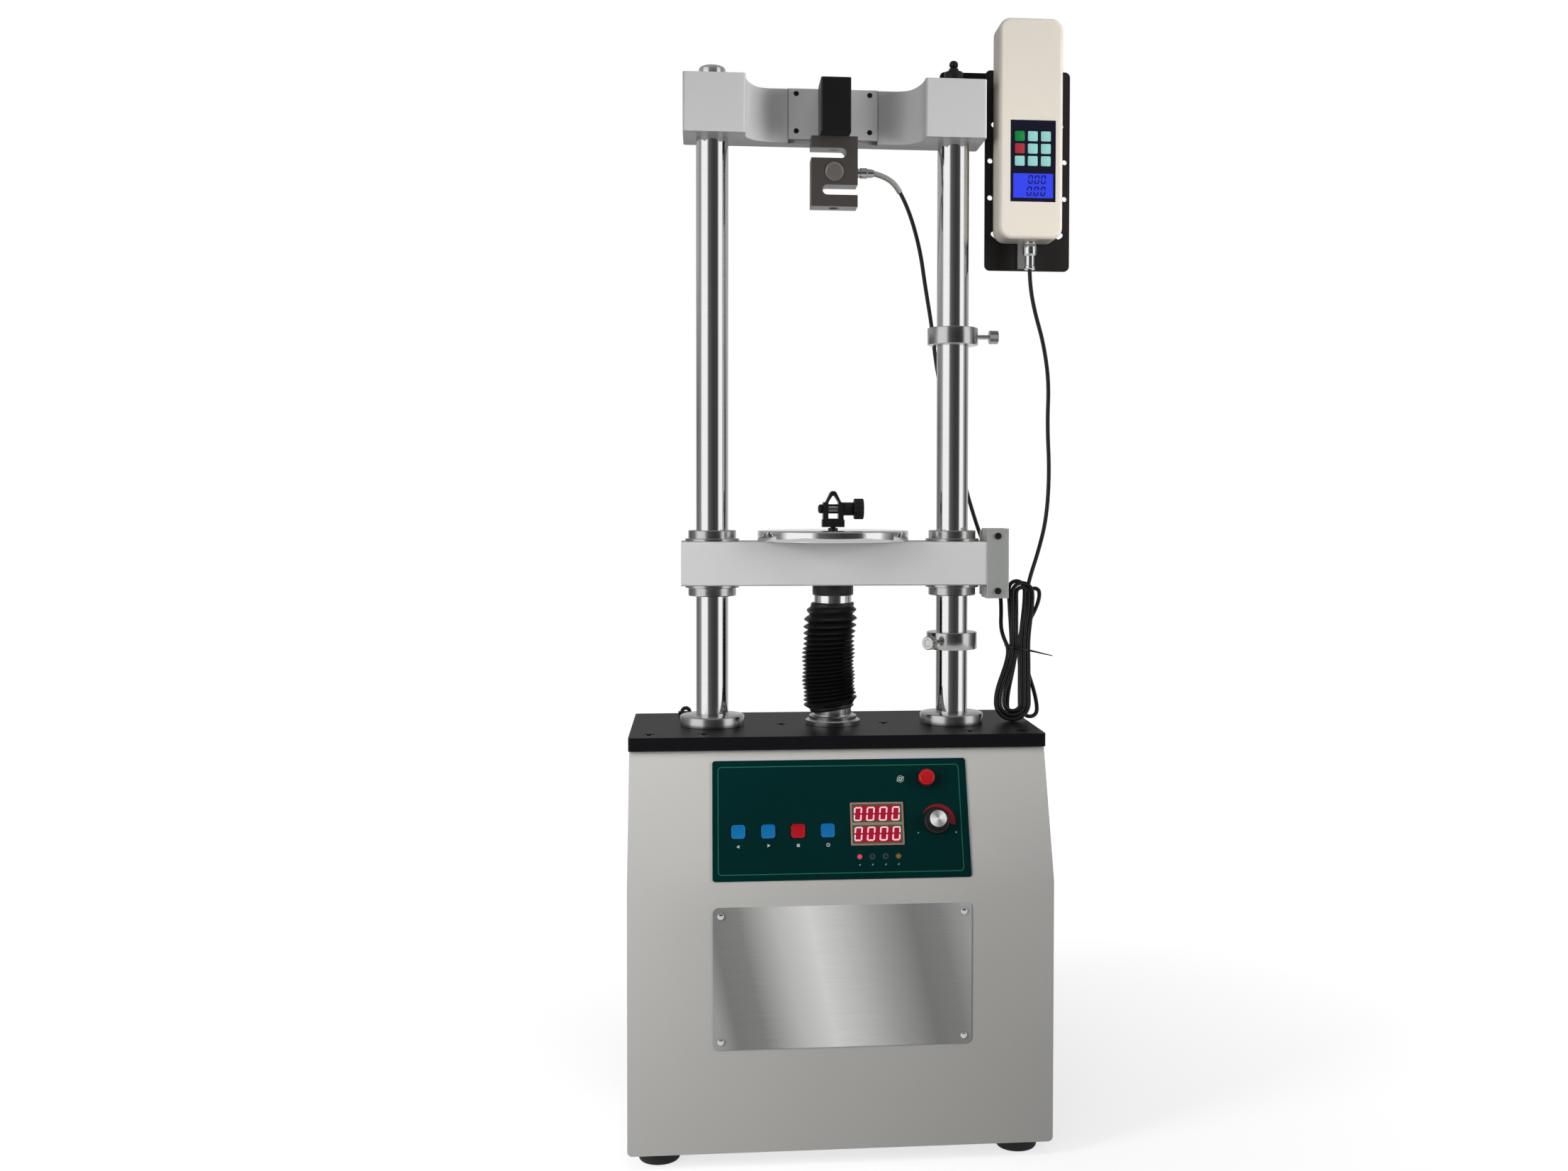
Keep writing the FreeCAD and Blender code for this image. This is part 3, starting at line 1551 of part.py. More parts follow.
def bracket_arm():
    # Angle bracket: a lug under the clamp knob and an upright web behind the carrier plate.
    back = carrier_front_y + carrier_thickness
    lug = box(bracket_left_x - 4, carrier_left_x - 4, bracket_lug_front_y, back + bracket_web_thickness,
              head_top_z, head_top_z + bracket_lug_thickness)
    lug = lug.makeFillet(4, edges_along(lug, Vector(0, 0, 1), lambda centre: centre.y < 0))
    web = box(bracket_left_x, bracket_right_x, back, back + bracket_web_thickness,
              head_top_z, bracket_top_z)
    corner = edges_along(web, Vector(0, 1, 0), lambda centre: centre.x < bracket_left_x + 1 and centre.z > head_top_z + 5)
    web = web.makeFillet(5, corner)
    body = fuse_all([lug, web])
    return body.cut(rod(column_stud, column_x, 0, head_top_z - 1, head_top_z + bracket_lug_thickness + 1))


def carrier_plate():
    middle = (carrier_left_x + carrier_right_x) / 2
    level = carrier_top_z - carrier_hole_drop
    plate = round_box(
        carrier_left_x, carrier_right_x, carrier_front_y, carrier_front_y + carrier_thickness,
        carrier_bottom_z, carrier_top_z, carrier_corner, Vector(0, 1, 0),
    )
    through = (carrier_front_y - 1, carrier_front_y + carrier_thickness + 1)
    cutters = []
    for side in (-1, 1):
        for rise in (-1, 1):
            cutters.append(depth_rod(carrier_hole, middle + side * carrier_hole_x, *through,
                                     level + rise * carrier_hole_z))
            slot = box(-carrier_slot_length / 2 + carrier_hole, carrier_slot_length / 2 - carrier_hole,
                       *through, -carrier_hole, carrier_hole)
            ends = [depth_rod(carrier_hole, reach, *through, 0)
                    for reach in (-carrier_slot_length / 2 + carrier_hole, carrier_slot_length / 2 - carrier_hole)]
            slot = fuse_all([slot] + ends)
            slot.rotate(Vector(0, 0, 0), Vector(0, 1, 0), carrier_slot_tilt * side * rise)
            slot.translate(Vector(middle + side * carrier_slot_x, 0, level + rise * carrier_slot_z))
            cutters.append(slot)
    rail = box(rail_left_x, rail_left_x + rail_width, carrier_front_y - rail_thickness, carrier_front_y,
               rail_bottom_z, rail_top_z)
    return fuse_all([cut_all(plate, cutters), rail])


def gauge_blank(inset, front, back):
    return round_box(
        gauge_left_x + inset, gauge_left_x + gauge_width - inset, front, back,
        gauge_bottom_z + inset, gauge_bottom_z + gauge_height - inset, gauge_corner - inset, Vector(0, 1, 0),
    )


def gauge_front_shell():
    body = gauge_blank(0, gauge_front_y, gauge_split_y)
    rim = [edge for edge in body.Edges if abs(edge.CenterOfMass.y - gauge_front_y) < 0.01]
    body = body.makeFillet(gauge_edge, rim)
    body = body.cut(gauge_blank(gauge_wall, gauge_front_y + gauge_wall, gauge_split_y + 1))
    recess = box(face_left_x, face_left_x + face_width, gauge_front_y - 1, gauge_front_y + face_thickness + face_sink,
                 face_bottom_z, face_bottom_z + face_height)
    opening = box(face_left_x + 3, face_left_x + face_width - 3, gauge_front_y - 1, gauge_front_y + gauge_wall + 1,
                  face_bottom_z + 3, face_bottom_z + face_height - 3)
    socket = rod(connector_bore(), connector_x, connector_y, gauge_bottom_z - 1, gauge_bottom_z + gauge_wall + 1)
    return cut_all(body, [recess, opening, socket])


def connector_bore():
    return 4.6


def gauge_back_shell():
    back = carrier_front_y - rail_thickness
    body = gauge_blank(0, gauge_split_y, back)
    rim = [edge for edge in body.Edges if abs(edge.CenterOfMass.y - back) < 0.01]
    body = body.makeChamfer(1.5, rim)
    return body.cut(gauge_blank(gauge_wall, gauge_split_y - 1, back - gauge_wall))


def gauge_face():
    low = gauge_front_y + face_sink
    return round_box(
        face_left_x + 0.1, face_left_x + face_width - 0.1, low, low + face_thickness,
        face_bottom_z + 0.1, face_bottom_z + face_height - 0.1, 1.0, Vector(0, 1, 0),
    )


def gauge_board():
    # Circuit board with the display module, the battery and the signal socket.
    left = gauge_left_x + gauge_wall + gauge_board_inset
    right = gauge_left_x + gauge_width - gauge_wall - gauge_board_inset
    low = gauge_bottom_z + gauge_wall + 2 * gauge_board_inset
    board_y = gauge_split_y - 4
    board = box(left, right, board_y, board_y + gauge_board_thickness, low,
                gauge_bottom_z + gauge_height - gauge_board_end)
    front = gauge_front_y + face_sink + face_thickness
    module = box(face_left_x + 4, face_left_x + face_width - 4, front, board_y,
                 face_bottom_z + 4, face_bottom_z + 4 + module_height)
    keys = box(face_left_x + 4, face_left_x + face_width - 4, front, board_y,
               face_bottom_z + 6 + module_height, face_bottom_z + face_height - 4)
    battery = box(left + 6, right - 6, board_y + gauge_board_thickness,
                  carrier_front_y - rail_thickness - gauge_wall, low + battery_rise, low + battery_rise + battery_length)
    socket = rod(7, connector_x, connector_y, gauge_bottom_z + gauge_wall, low + 8)
    socket = socket.cut(rod(connector_bore(), connector_x, connector_y, gauge_bottom_z, low + 6))
    return fuse_all([board, module, keys, battery, socket])


def gauge_connector():
    top = connector_top_z
    bottom = connector_bottom_z
    bore = cable_diameter / 2
    profile = [
        (0, top + 6),
        (connector_bore() - 0.2, top + 6),
        (connector_bore() - 0.2, top),
        (7.6, top),
        (7.6, top - 3),
        (6.9, top - 3.4),
        (7.8, top - 5),
        (7.8, top - 14.5),
        (5.4, top - 16),
        (5.4, top - 27),
        (6.2, top - 27.6),
        (6.2, bottom + 1.2),
        (5.4, bottom),
        (bore, bottom),
        (bore, bottom + 8),
        (0, bottom + 8),
    ]
    return turned(profile, connector_x, connector_y)


def bracket_knob():
    # Knurled stem with a ball on top, screwed down on the stud of the right column.
    low = head_top_z + bracket_lug_thickness
    washer_top = low + knob_washer_height
    stem_top = washer_top + knob_stem_height
    washer = rod(knob_washer, column_x, 0, low, washer_top)
    stem = rod(column_stud + 2.2, column_x, 0, washer_top, washer_top + 9)
    neck = rod(knob_stem, column_x, 0, washer_top + 9, stem_top)
    ball = Part.makeSphere(knob_ball, Vector(column_x, 0, stem_top + knob_ball * 0.6))
    body = fuse_all([washer, stem, neck, ball])
    return body.cut(rod(column_stud + slide_clearance, column_x, 0, low - 1, washer_top + 8.1))


# Signal cable

def hung_route(offsets, start, end):
    # The offsets laid from start, leaned and stretched so that the last one lands on end.
    last = offsets[-1]
    finish = (hank_x + end[0], end[1], plate_top_z + end[2])
    route = []
    for offset in offsets:
        share = offset[2] / last[2]
        route.append(tuple(
            start[axis] + offset[axis] + share * (finish[axis] - start[axis] - last[axis]) for axis in range(3)
        ))
    return route


def cord_path(route, label):
    # Straight runs joined by tangent arcs, each as large as its two runs allow.
    points = [Vector(*point) for point in route]
    edges = []
    radii = []
    start = points[0]
    for index in range(1, len(points) - 1):
        corner = points[index]
        back = points[index - 1].sub(corner)
        ahead = points[index + 1].sub(corner)
        shorter = min(back.Length, ahead.Length)
        back.normalize()
        ahead.normalize()
        half_turn = (math.pi - back.getAngle(ahead)) / 2
        reach = cable_share * shorter
        radii.append(reach / math.tan(half_turn))
        arc_start = corner.add(back * reach)
        arc_end = corner.add(ahead * reach)
        inward = (back + ahead).normalize()
        depth = radii[-1] * (1 / math.cos(half_turn) - 1)
        edges.append(Part.LineSegment(start, arc_start).toShape())
        edges.append(Part.Arc(arc_start, corner.add(inward * depth), arc_end).toShape())
        start = arc_end
    edges.append(Part.LineSegment(start, points[-1]).toShape())
    print(label, "radii", [round(radius, 1) for radius in radii])
    return Part.Wire(edges)


def cord_tube(route, label):
    wire = cord_path(route, label)
    direction = Vector(*route[1]).sub(Vector(*route[0]))
    circle = Part.makeCircle(cable_diameter / 2, Vector(*route[0]), direction)
    tube = wire.makePipeShell([Part.Wire([circle])], True, False)
    section = math.pi * cable_diameter ** 2 / 4
    print(label, "volume share", round(tube.Volume / (section * wire.Length), 4), "length", round(wire.Length, 1))
    return tube


def cable_hank():
    rings = []
    for height, x, y, half_width, half_depth in hank_sections:
        curve = Part.Ellipse(Vector(hank_x + x, y, plate_top_z + height), half_width, half_depth)
        rings.append(Part.Wire([curve.toShape()]))
    return Part.makeLoft(rings, True, False)


def main():
    os.makedirs("parts", exist_ok=True)
    save("base_plate", base_plate())
    save("fasteners", fasteners())
    save("base_frame", base_frame())
    save("casing", casing())
    save("rear_cover", rear_cover())
    save("feet", feet())
    save("nameplate", nameplate())
    save("control_panel", control_panel())
    save("control_board", control_board())
    save("power_supply", power_supply())
    save("power_inlet", power_inlet())
    save("power_rocker", power_rocker())
    save("columns", columns())
    save("column_flanges", column_flanges())
    save("top_crosshead", top_crosshead())
    save("arm_mount_plate", arm_mount_plate())
    save("load_arm", load_arm())
    save("load_cell", load_cell())
    save("cell_gland", cell_gland())
    save("ram_guide", ram_guide())
    save("ram_housing", ram_housing())
    save("drive_plate", drive_plate())
    save("screw_bearings", screw_bearings())
    save("drive_motor", drive_motor())
    save("drive_belt", drive_belt())
    save("lead_screw", lead_screw())
    save("screw_pulley", toothed_pulley(screw_teeth, journal_radius, 0))
    save("motor_pulley", motor_pulley())
    save("moving_crosshead", moving_crosshead())
    save("column_bushes", column_bushes())
    save("ram_boss", ram_boss_piece())
    save("ram_tube", ram_tube())
    save("ram_nut", ram_nut())
    save("ram_bellows", ram_bellows())
    save("platen", platen())
    save("grip_yoke", grip_yoke())
    save("grip_knob", grip_knob())
    save("limit_housing", limit_housing())
    save("limit_switch", limit_switch())
    save("upper_collar", collar_with_hole(upper_collar_z, 0))
    save("upper_thumb_screw", thumb_screw(upper_collar_z, 0))
    save("lower_collar", collar_with_hole(lower_collar_z, lower_thumb_turn))
    save("lower_thumb_screw", thumb_screw(lower_collar_z, lower_thumb_turn))
    for index in range(button_count):
        save("panel_button_" + str(index + 1), panel_button(index))
    save("stop_button", stop_button())
    save("speed_knob", speed_knob())
    save("bracket_arm", bracket_arm())
    save("bracket_knob", bracket_knob())
    save("carrier_plate", carrier_plate())
    save("gauge_front_shell", gauge_front_shell())
    save("gauge_back_shell", gauge_back_shell())
    save("gauge_face", gauge_face())
    save("gauge_board", gauge_board())
    save("gauge_connector", gauge_connector())
    gland_end = (cell_width / 2 + gland_length, 0, gland_z)
    plug_end = (connector_x, connector_y, connector_bottom_z)
    save("cell_cable", cord_tube(hung_route(cell_cable_route, gland_end, cell_cable_end), "cell cable"))
    save("gauge_cable", cord_tube(hung_route(gauge_cable_route, plug_end, gauge_cable_end), "gauge cable"))
    save("cable_hank", cable_hank())


main()
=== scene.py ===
import bmesh
import bpy
import json
import math
from mathutils import Matrix, Vector


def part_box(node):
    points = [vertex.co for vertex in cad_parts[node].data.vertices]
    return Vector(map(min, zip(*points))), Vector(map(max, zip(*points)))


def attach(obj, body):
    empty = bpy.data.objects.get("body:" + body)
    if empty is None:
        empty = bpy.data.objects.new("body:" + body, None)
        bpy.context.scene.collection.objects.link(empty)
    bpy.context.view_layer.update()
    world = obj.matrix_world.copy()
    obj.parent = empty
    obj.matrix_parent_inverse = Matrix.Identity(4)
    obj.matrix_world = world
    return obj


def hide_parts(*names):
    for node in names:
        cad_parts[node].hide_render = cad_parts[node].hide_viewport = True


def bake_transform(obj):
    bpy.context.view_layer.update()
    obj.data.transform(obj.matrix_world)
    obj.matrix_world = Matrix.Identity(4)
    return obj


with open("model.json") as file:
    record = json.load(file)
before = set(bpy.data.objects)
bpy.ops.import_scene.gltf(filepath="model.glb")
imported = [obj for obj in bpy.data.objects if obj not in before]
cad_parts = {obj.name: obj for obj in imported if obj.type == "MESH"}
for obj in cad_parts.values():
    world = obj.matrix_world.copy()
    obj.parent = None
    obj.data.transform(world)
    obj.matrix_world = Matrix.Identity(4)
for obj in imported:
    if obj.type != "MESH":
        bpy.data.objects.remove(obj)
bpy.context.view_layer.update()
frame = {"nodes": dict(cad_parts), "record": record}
nodes = frame["nodes"]
nodeBody = {node: body for body, members in frame["record"]["behaviour"]["bodies"].items() for node in members}
for cadNode in nodes.values():
    cadNode.data.materials.clear()


# selecting and shaping

def dropSelection():
    if bpy.context.object and bpy.context.object.mode != "OBJECT":
        bpy.ops.object.mode_set(mode="OBJECT")
    bpy.ops.object.select_all(action="DESELECT")


def pick(piece):
    dropSelection()
    piece.select_set(True)
    bpy.context.view_layer.objects.active = piece


def openMesh(piece, action="DESELECT"):
    pick(piece)
    bpy.ops.object.mode_set(mode="EDIT")
    bpy.ops.mesh.select_all(action=action)


def closeMesh():
    bpy.ops.object.mode_set(mode="OBJECT")


def extruded(x, y, z):
    bpy.ops.mesh.extrude_region_move(TRANSFORM_OT_translate={"value": (x, y, z)})


def moveVerts(piece, moved):
    # every corner goes where the function says
    openMesh(piece)
    shape = bmesh.from_edit_mesh(piece.data)
    for vert in shape.verts:
        vert.co = moved(vert.co.copy())
    bmesh.update_edit_mesh(piece.data)
    closeMesh()


def newest(name):
    bpy.context.object.name = name
    return bpy.context.object


def selectFaces(piece, test):
    bpy.ops.mesh.select_mode(type="FACE")
    shape = bmesh.from_edit_mesh(piece.data)
    for face in shape.faces:
        face.select = test(face.calc_center_median(), face.normal)
    bmesh.update_edit_mesh(piece.data)


def selectEdges(piece, test):
    bpy.ops.mesh.select_mode(type="EDGE")
    shape = bmesh.from_edit_mesh(piece.data)
    for edge in shape.edges:
        edge.select = test(edge.verts[0].co, edge.verts[1].co)
    bmesh.update_edit_mesh(piece.data)


def applyPlace(piece):
    pick(piece)
    bpy.ops.object.transform_apply(location=True, rotation=True, scale=True)


def mendNormals(piece):
    openMesh(piece, "SELECT")
    bpy.ops.mesh.remove_doubles(threshold=0.000001)
    bpy.ops.mesh.normals_make_consistent(inside=False)
    closeMesh()


def roundEdges(piece, width, segments=2, angle=32):
    pick(piece)
    bevel = piece.modifiers.new("edges", "BEVEL")
    bevel.width = width
    bevel.segments = segments
    bevel.limit_method = "ANGLE"
    bevel.angle_limit = math.radians(angle)
    bevel.harden_normals = False
    bpy.ops.object.modifier_apply(modifier=bevel.name)


def smoothed(piece, angle=35):
    pick(piece)
    bpy.ops.object.shade_smooth_by_angle(angle=math.radians(angle))
    return piece


def flatWalls(piece):
    # the wide faces keep their own normals and only the broken edges turn
    pick(piece)
    weigh = piece.modifiers.new("walls", "WEIGHTED_NORMAL")
    weigh.keep_sharp = True
    bpy.ops.object.modifier_apply(modifier=weigh.name)
    return piece


def joined(name, pieces):
    dropSelection()
    for piece in pieces:
        piece.select_set(True)
    bpy.context.view_layer.objects.active = pieces[0]
    if len(pieces) > 1:
        bpy.ops.object.join()
    pieces[0].name = name
    return pieces[0]


def copyOf(piece, offset=(0, 0, 0)):
    pick(piece)
    bpy.ops.object.duplicate()
    twin = bpy.context.object
    twin.location = Vector(offset)
    applyPlace(twin)
    return twin


def padPiece(name, low, high, corner, edge, axis=2, segments=5):
    # a cap with round corners seen along one axis and a small broken rim
    piece = blockPiece(name, low, high)
    openMesh(piece)
    selectEdges(piece, lambda a, b: abs(a[axis] - b[axis]) > 1e-6)
    bpy.ops.mesh.bevel(offset=corner, segments=segments, affect="EDGES")
    closeMesh()
    if edge:
        roundEdges(piece, edge, 2, 50)
    return piece


def turnPiece(name, profile, at=(0, 0, 0), steps=96, ring=False, sway=None):
    # profile is (radius, height) pairs; each one is an extrude and a scale of the last loop
    dropSelection()
    radius, height = profile[0]
    x, y = (at[0], at[1])
    bpy.ops.mesh.primitive_circle_add(vertices=steps, radius=radius, fill_type="NOTHING" if ring else "NGON",
        location=(x, y, at[2] + height))
    piece = newest(name)
    openMesh(piece, "SELECT")
    for nextRadius, nextHeight in profile[1:]:
        dx, dy = sway(nextHeight) if sway else (0.0, 0.0)
        moveX, moveY = (at[0] + dx - x, at[1] + dy - y)
        extruded(moveX, moveY, nextHeight - height)
        x, y = (at[0] + dx, at[1] + dy)
        factor = nextRadius / radius
        bpy.ops.transform.resize(value=(factor, factor, 1), center_override=(x, y, at[2] + nextHeight))
        radius, height = nextRadius, nextHeight
    closeMesh()
    applyPlace(piece)
    mendNormals(piece)
    return piece


def ringPiece(name, profile, at=(0, 0, 0), steps=96):
    # a bored ring: the last loop meets the first again
    return turnPiece(name, profile + profile[:1], at, steps, ring=True)


def stoodAt(piece, place, direction):
    # a piece turned on Z at the origin, laid along another direction
    piece.rotation_mode = "QUATERNION"
    piece.rotation_quaternion = Vector(direction).to_track_quat("Z", "Y")
    piece.location = Vector(place)
    applyPlace(piece)
    return piece


def blockPiece(name, low, high, bevel=0.0, segments=2):
    dropSelection()
    centre = [(a + b) / 2 for a, b in zip(low, high)]
    bpy.ops.mesh.primitive_cube_add(size=1, location=centre)
    piece = newest(name)
    piece.scale = [b - a for a, b in zip(low, high)]
    applyPlace(piece)
    if bevel:
        openMesh(piece, "SELECT")
        bpy.ops.mesh.bevel(offset=bevel, segments=segments, affect="EDGES")
        closeMesh()
    return piece


def dressedCopy(node, bevel=0.0004, segments=2, angle=32):
    # the CAD node's shape with clean faces, broken edges and smooth curves
    twin = nodes[node].copy()
    twin.data = nodes[node].data.copy()
    bpy.context.scene.collection.objects.link(twin)
    twin.parent = None
    twin.name = node + "Dressed"
    for key in list(twin.keys()):
        del twin[key]
    twin.hide_render = False
    openMesh(twin, "SELECT")
    bpy.ops.mesh.customdata_custom_splitnormals_clear()
    bpy.ops.mesh.remove_doubles(threshold=0.000002)
    bpy.ops.mesh.dissolve_limited(angle_limit=math.radians(0.5))
    closeMesh()
    if bevel:
        roundEdges(twin, bevel, segments, angle)
    return flatWalls(smoothed(twin, 35))


def settle(piece, look, node=None, beside=None, smooth=32):
    # its look, the CAD node that it stands for, or else the one that it moves with
    piece.data.materials.clear()
    piece.data.materials.append(looks[look])
    if smooth:
        smoothed(piece, smooth)
    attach(piece, nodeBody[beside or node])
    if node:
        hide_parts(node)
    return piece


def dress(node, look, bevel, segments, angle=32):
    return settle(dressedCopy(node, bevel, segments, angle), look, node, smooth=0)


# shader maths

class Wire:
    def __init__(self, look, socket):
        self.look = look
        self.socket = socket

    def maths(self, operation, first, second=0.0):
        return self.look.node("Math", {"operation": operation}, {0: first, 1: second})

    def __add__(self, other):
        return self.maths("ADD", self, other)

    __radd__ = __add__

    def __sub__(self, other):
        return self.maths("SUBTRACT", self, other)

    def __rsub__(self, other):
        return self.maths("SUBTRACT", other, self)

    def __mul__(self, other):
        return self.maths("MULTIPLY", self, other)

    __rmul__ = __mul__


looks = {}
socketNames = {"colour": "Base Color", "roughness": "Roughness", "metallic": "Metallic", "normal": "Normal",
    "glow": "Emission Color", "glowStrength": "Emission Strength", "specular": "Specular IOR Level"}


class Look:
    def __init__(self, name, tree=None):
        if tree is None:
            looks[name] = bpy.data.materials.new(name)
            looks[name].use_nodes = True
            tree = looks[name].node_tree
            self.shader = tree.nodes["Principled BSDF"]
        self.tree = tree

    def node(self, kind, settings=None, inputs=None, out=0):
        made = self.tree.nodes.new("ShaderNode" + kind)
        for key, value in (settings or {}).items():
            if key == "stops":
                ramp = made.color_ramp
                while len(ramp.elements) < len(value):
                    ramp.elements.new(0.5)
                for element, (position, colour) in zip(ramp.elements, value):
                    element.position = position
                    element.color = (*colour, 1) if isinstance(colour, tuple) else (colour, colour, colour, 1)
            else:
                setattr(made, key, value)
        for key, value in (inputs or {}).items():
            if isinstance(value, Wire):
                self.tree.links.new(value.socket, made.inputs[key])
            else:
                made.inputs[key].default_value = value
        return Wire(self, made.outputs[out])

    def put(self, **values):
        for key, value in values.items():
            socket = self.shader.inputs[socketNames[key]]
            if isinstance(value, Wire):
                self.tree.links.new(value.socket, socket)
            elif isinstance(value, tuple) and len(value) == 3:
                socket.default_value = (*value, 1)
            else:
                socket.default_value = value
        return self

    def place(self, scale=(1, 1, 1)):
        where = self.node("TexCoord", out=3)
        return self.node("Mapping", {}, {"Vector": where, "Scale": scale})

    def noise(self, vector, scale, detail=3.0, rough=0.5):
        return self.node("TexNoise", {},
            {"Vector": vector, "Scale": scale, "Detail": detail, "Roughness": rough})

    def tone(self, factor, colour, vary):
        return self.mix(factor, shade(colour, 1 - vary), shade(colour, 1 + vary))

    def mix(self, factor, first, second):
        return self.node("Mix", {"data_type": "RGBA"}, {0: factor, 6: first, 7: second}, out=2)

    def ramp(self, value, stops):
        return self.node("ValToRGB", {"stops": stops}, {0: value})

    def bump(self, height, strength, distance=0.0005):
        return self.node("Bump", {}, {"Strength": strength, "Distance": distance, "Height": height})


def shade(colour, factor):
    return (colour[0] * factor, colour[1] * factor, colour[2] * factor, 1)


def paintLook(name, colour, roughness=0.45, grain=900, bump=0.12, vary=0.05, shine=0.5):
    look = Look(name)
    where = look.place()
    fine = look.noise(where, grain, 2)
    wide = look.noise(where, 9, 3)
    tone = look.tone(wide, colour, vary)
    look.put(colour=tone, roughness=fine * 0.12 + (roughness - 0.06), normal=look.bump(fine, bump, 0.0002),
        specular=shine)


def plasticLook(name, colour, roughness=0.4, grain=1500, bump=0.1, vary=0.03):
    look = Look(name)
    where = look.place()
    fine = look.noise(where, grain, 2)
    tone = look.tone(look.noise(where, 14, 2), colour, vary)
    look.put(colour=tone, roughness=fine * 0.1 + (roughness - 0.05), normal=look.bump(fine, bump, 0.0001))


def brushedLook(name, colour, roughness, stretch, bump=0.08, vary=0.12, metal=1.0):
    # ground or turned metal: fine lines that run across the stretched direction
    look = Look(name)
    where = look.place(stretch)
    lines = look.noise(where, 60, 4, 0.65)
    soft = look.noise(look.place(), 22, 2)
    tone = look.tone(lines, colour, vary)
    look.put(colour=tone, metallic=metal, roughness=lines * 0.14 + soft * 0.05 + (roughness - 0.09),
        normal=look.bump(lines, bump, 0.0001))


def chromeLook(name, colour=(0.86, 0.86, 0.87), roughness=0.06):
    look = Look(name)
    soft = look.noise(look.place((1, 1, 14)), 30, 3)
    look.put(colour=look.mix(soft, shade(colour, 0.96), shade(colour, 1.03)), metallic=1.0,
        roughness=soft * 0.04 + (roughness - 0.02))


def glowLook(name, colour, strength, base):
    look = Look(name)
    soft = look.noise(look.place(), 400, 1)
    look.put(colour=look.tone(soft, base, 0.1), glow=colour, glowStrength=strength, roughness=0.35)


def plateReflectionLook(name):
    # brushed aluminium sheet with painted reflections: broad light and dark bands leaning across it, drawn into
    # its colour
    look = Look(name)
    split = look.node("SeparateXYZ", {}, {0: look.node("TexCoord", out=3)})
    east, up = (Wire(look, split.socket.node.outputs[axis]) for axis in (0, 2))
    lines = look.noise(look.place((1, 1, 60)), 26, 4, 0.65)
    lean = (east + up * 0.22 + lines * 0.012) * 3.6 + 0.32
    # painted reflection: this leaning ramp of light and dark greys stands in for the room mirrored in the plate
    bands = look.ramp(lean, [(at, (grey, grey, grey * 0.985)) for at, grey in (
        (0.0, 0.4), (0.06, 0.2), (0.16, 0.24), (0.3, 0.7), (0.42, 0.98), (0.52, 0.8), (0.66, 0.48), (0.8, 0.23),
        (0.9, 0.28), (1.0, 0.5))])
    look.put(colour=look.mix(lines * 0.3, bands, (0.45, 0.45, 0.44, 1)), metallic=0.35,
        roughness=lines * 0.12 + 0.34, normal=look.bump(lines, 0.14, 0.0001))


paints = {  # colour, roughness, grain, bump, variation, shine
    "casePaint": ((0.47, 0.465, 0.445), 0.5, 1300, 0.16, 0.03),
    "headPaint": ((0.52, 0.52, 0.525), 0.42, 1200, 0.1, 0.03),
    "platePaint": ((0.004, 0.0038, 0.005), 0.42, 1500, 0.2, 0.12, 0.15),
    "blackSteel": ((0.008, 0.008, 0.009), 0.34, 1100, 0.12, 0.15, 0.35),
    "carrierPaint": ((0.018, 0.016, 0.015), 0.4, 1400, 0.12, 0.12, 0.3),
    "panelPaint": ((0.0004, 0.019, 0.018), 0.3, 700, 0.03, 0.22, 0.07),
    "innerSteel": ((0.22, 0.22, 0.23), 0.45, 700, 0.1, 0.08),
    "motorPaint": ((0.02, 0.02, 0.022), 0.5, 900, 0.15, 0.1),
}
plastics = {  # colour, roughness, grain, bump, variation
    "lineInk": ((0.01, 0.115, 0.075), 0.4),
    "whiteInk": ((0.42, 0.47, 0.45), 0.5),
    "arcInk": ((0.19, 0.004, 0.01), 0.4),
    "displayFrame": ((0.3, 0.175, 0.15), 0.45, 1500, 0.1),
    "ledRing": ((0.045, 0.085, 0.07), 0.35),
    "ledDark": ((0.004, 0.018, 0.016), 0.2),
    "lcdInk": ((0.001, 0.001, 0.045), 0.6),
    "keyGreen": ((0.004, 0.2, 0.042), 0.42, 1500, 0.05),
    "keyRed": ((0.33, 0.026, 0.04), 0.42, 1500, 0.05),
    "keyPale": ((0.27, 0.58, 0.55), 0.42, 1500, 0.05),
    "faceBlack": ((0.008, 0.008, 0.02), 0.25, 1300, 0.05, 0.1),
    "rubberBlack": ((0.006, 0.006, 0.0065), 0.36, 700, 0.15, 0.2),
    "footRubber": ((0.012, 0.012, 0.012), 0.55, 900, 0.2, 0.2),
    "jacket": ((0.008, 0.008, 0.009), 0.24, 500, 0.06, 0.2),
    "sleeveGrey": ((0.26, 0.25, 0.235), 0.2, 600, 0.05, 0.25),
    "blackPlastic": ((0.01, 0.01, 0.011), 0.32, 1300, 0.15, 0.1),
    "beigePlastic": ((0.72, 0.67, 0.585), 0.42, 2200, 0.12, 0.02),
    "blueButton": ((0.0, 0.135, 0.36), 0.3, 1500, 0.05),
    "redButton": ((0.38, 0.002, 0.008), 0.3, 1500, 0.05),
    "redKnob": ((0.42, 0.003, 0.008), 0.28, 1500, 0.05),
    "boardGreen": ((0.01, 0.11, 0.04), 0.4, 900, 0.1, 0.15),
}
glows = {  # light, strength, colour when dark
    "digitGlow": ((1.0, 0.52, 0.57), 0.95, (0.25, 0.1, 0.1)),
    "windowGlow": ((0.26, 0.004, 0.022), 1.0, (0.05, 0.0, 0.004)),
    "redLed": ((0.95, 0.03, 0.07), 1.0, (0.2, 0.0, 0.01)),
    "amberLed": ((0.3, 0.1, 0.012), 0.55, (0.12, 0.04, 0.0)),
    "lcdGlow": ((0.03, 0.05, 0.8), 0.92, (0.01, 0.015, 0.1)),
}
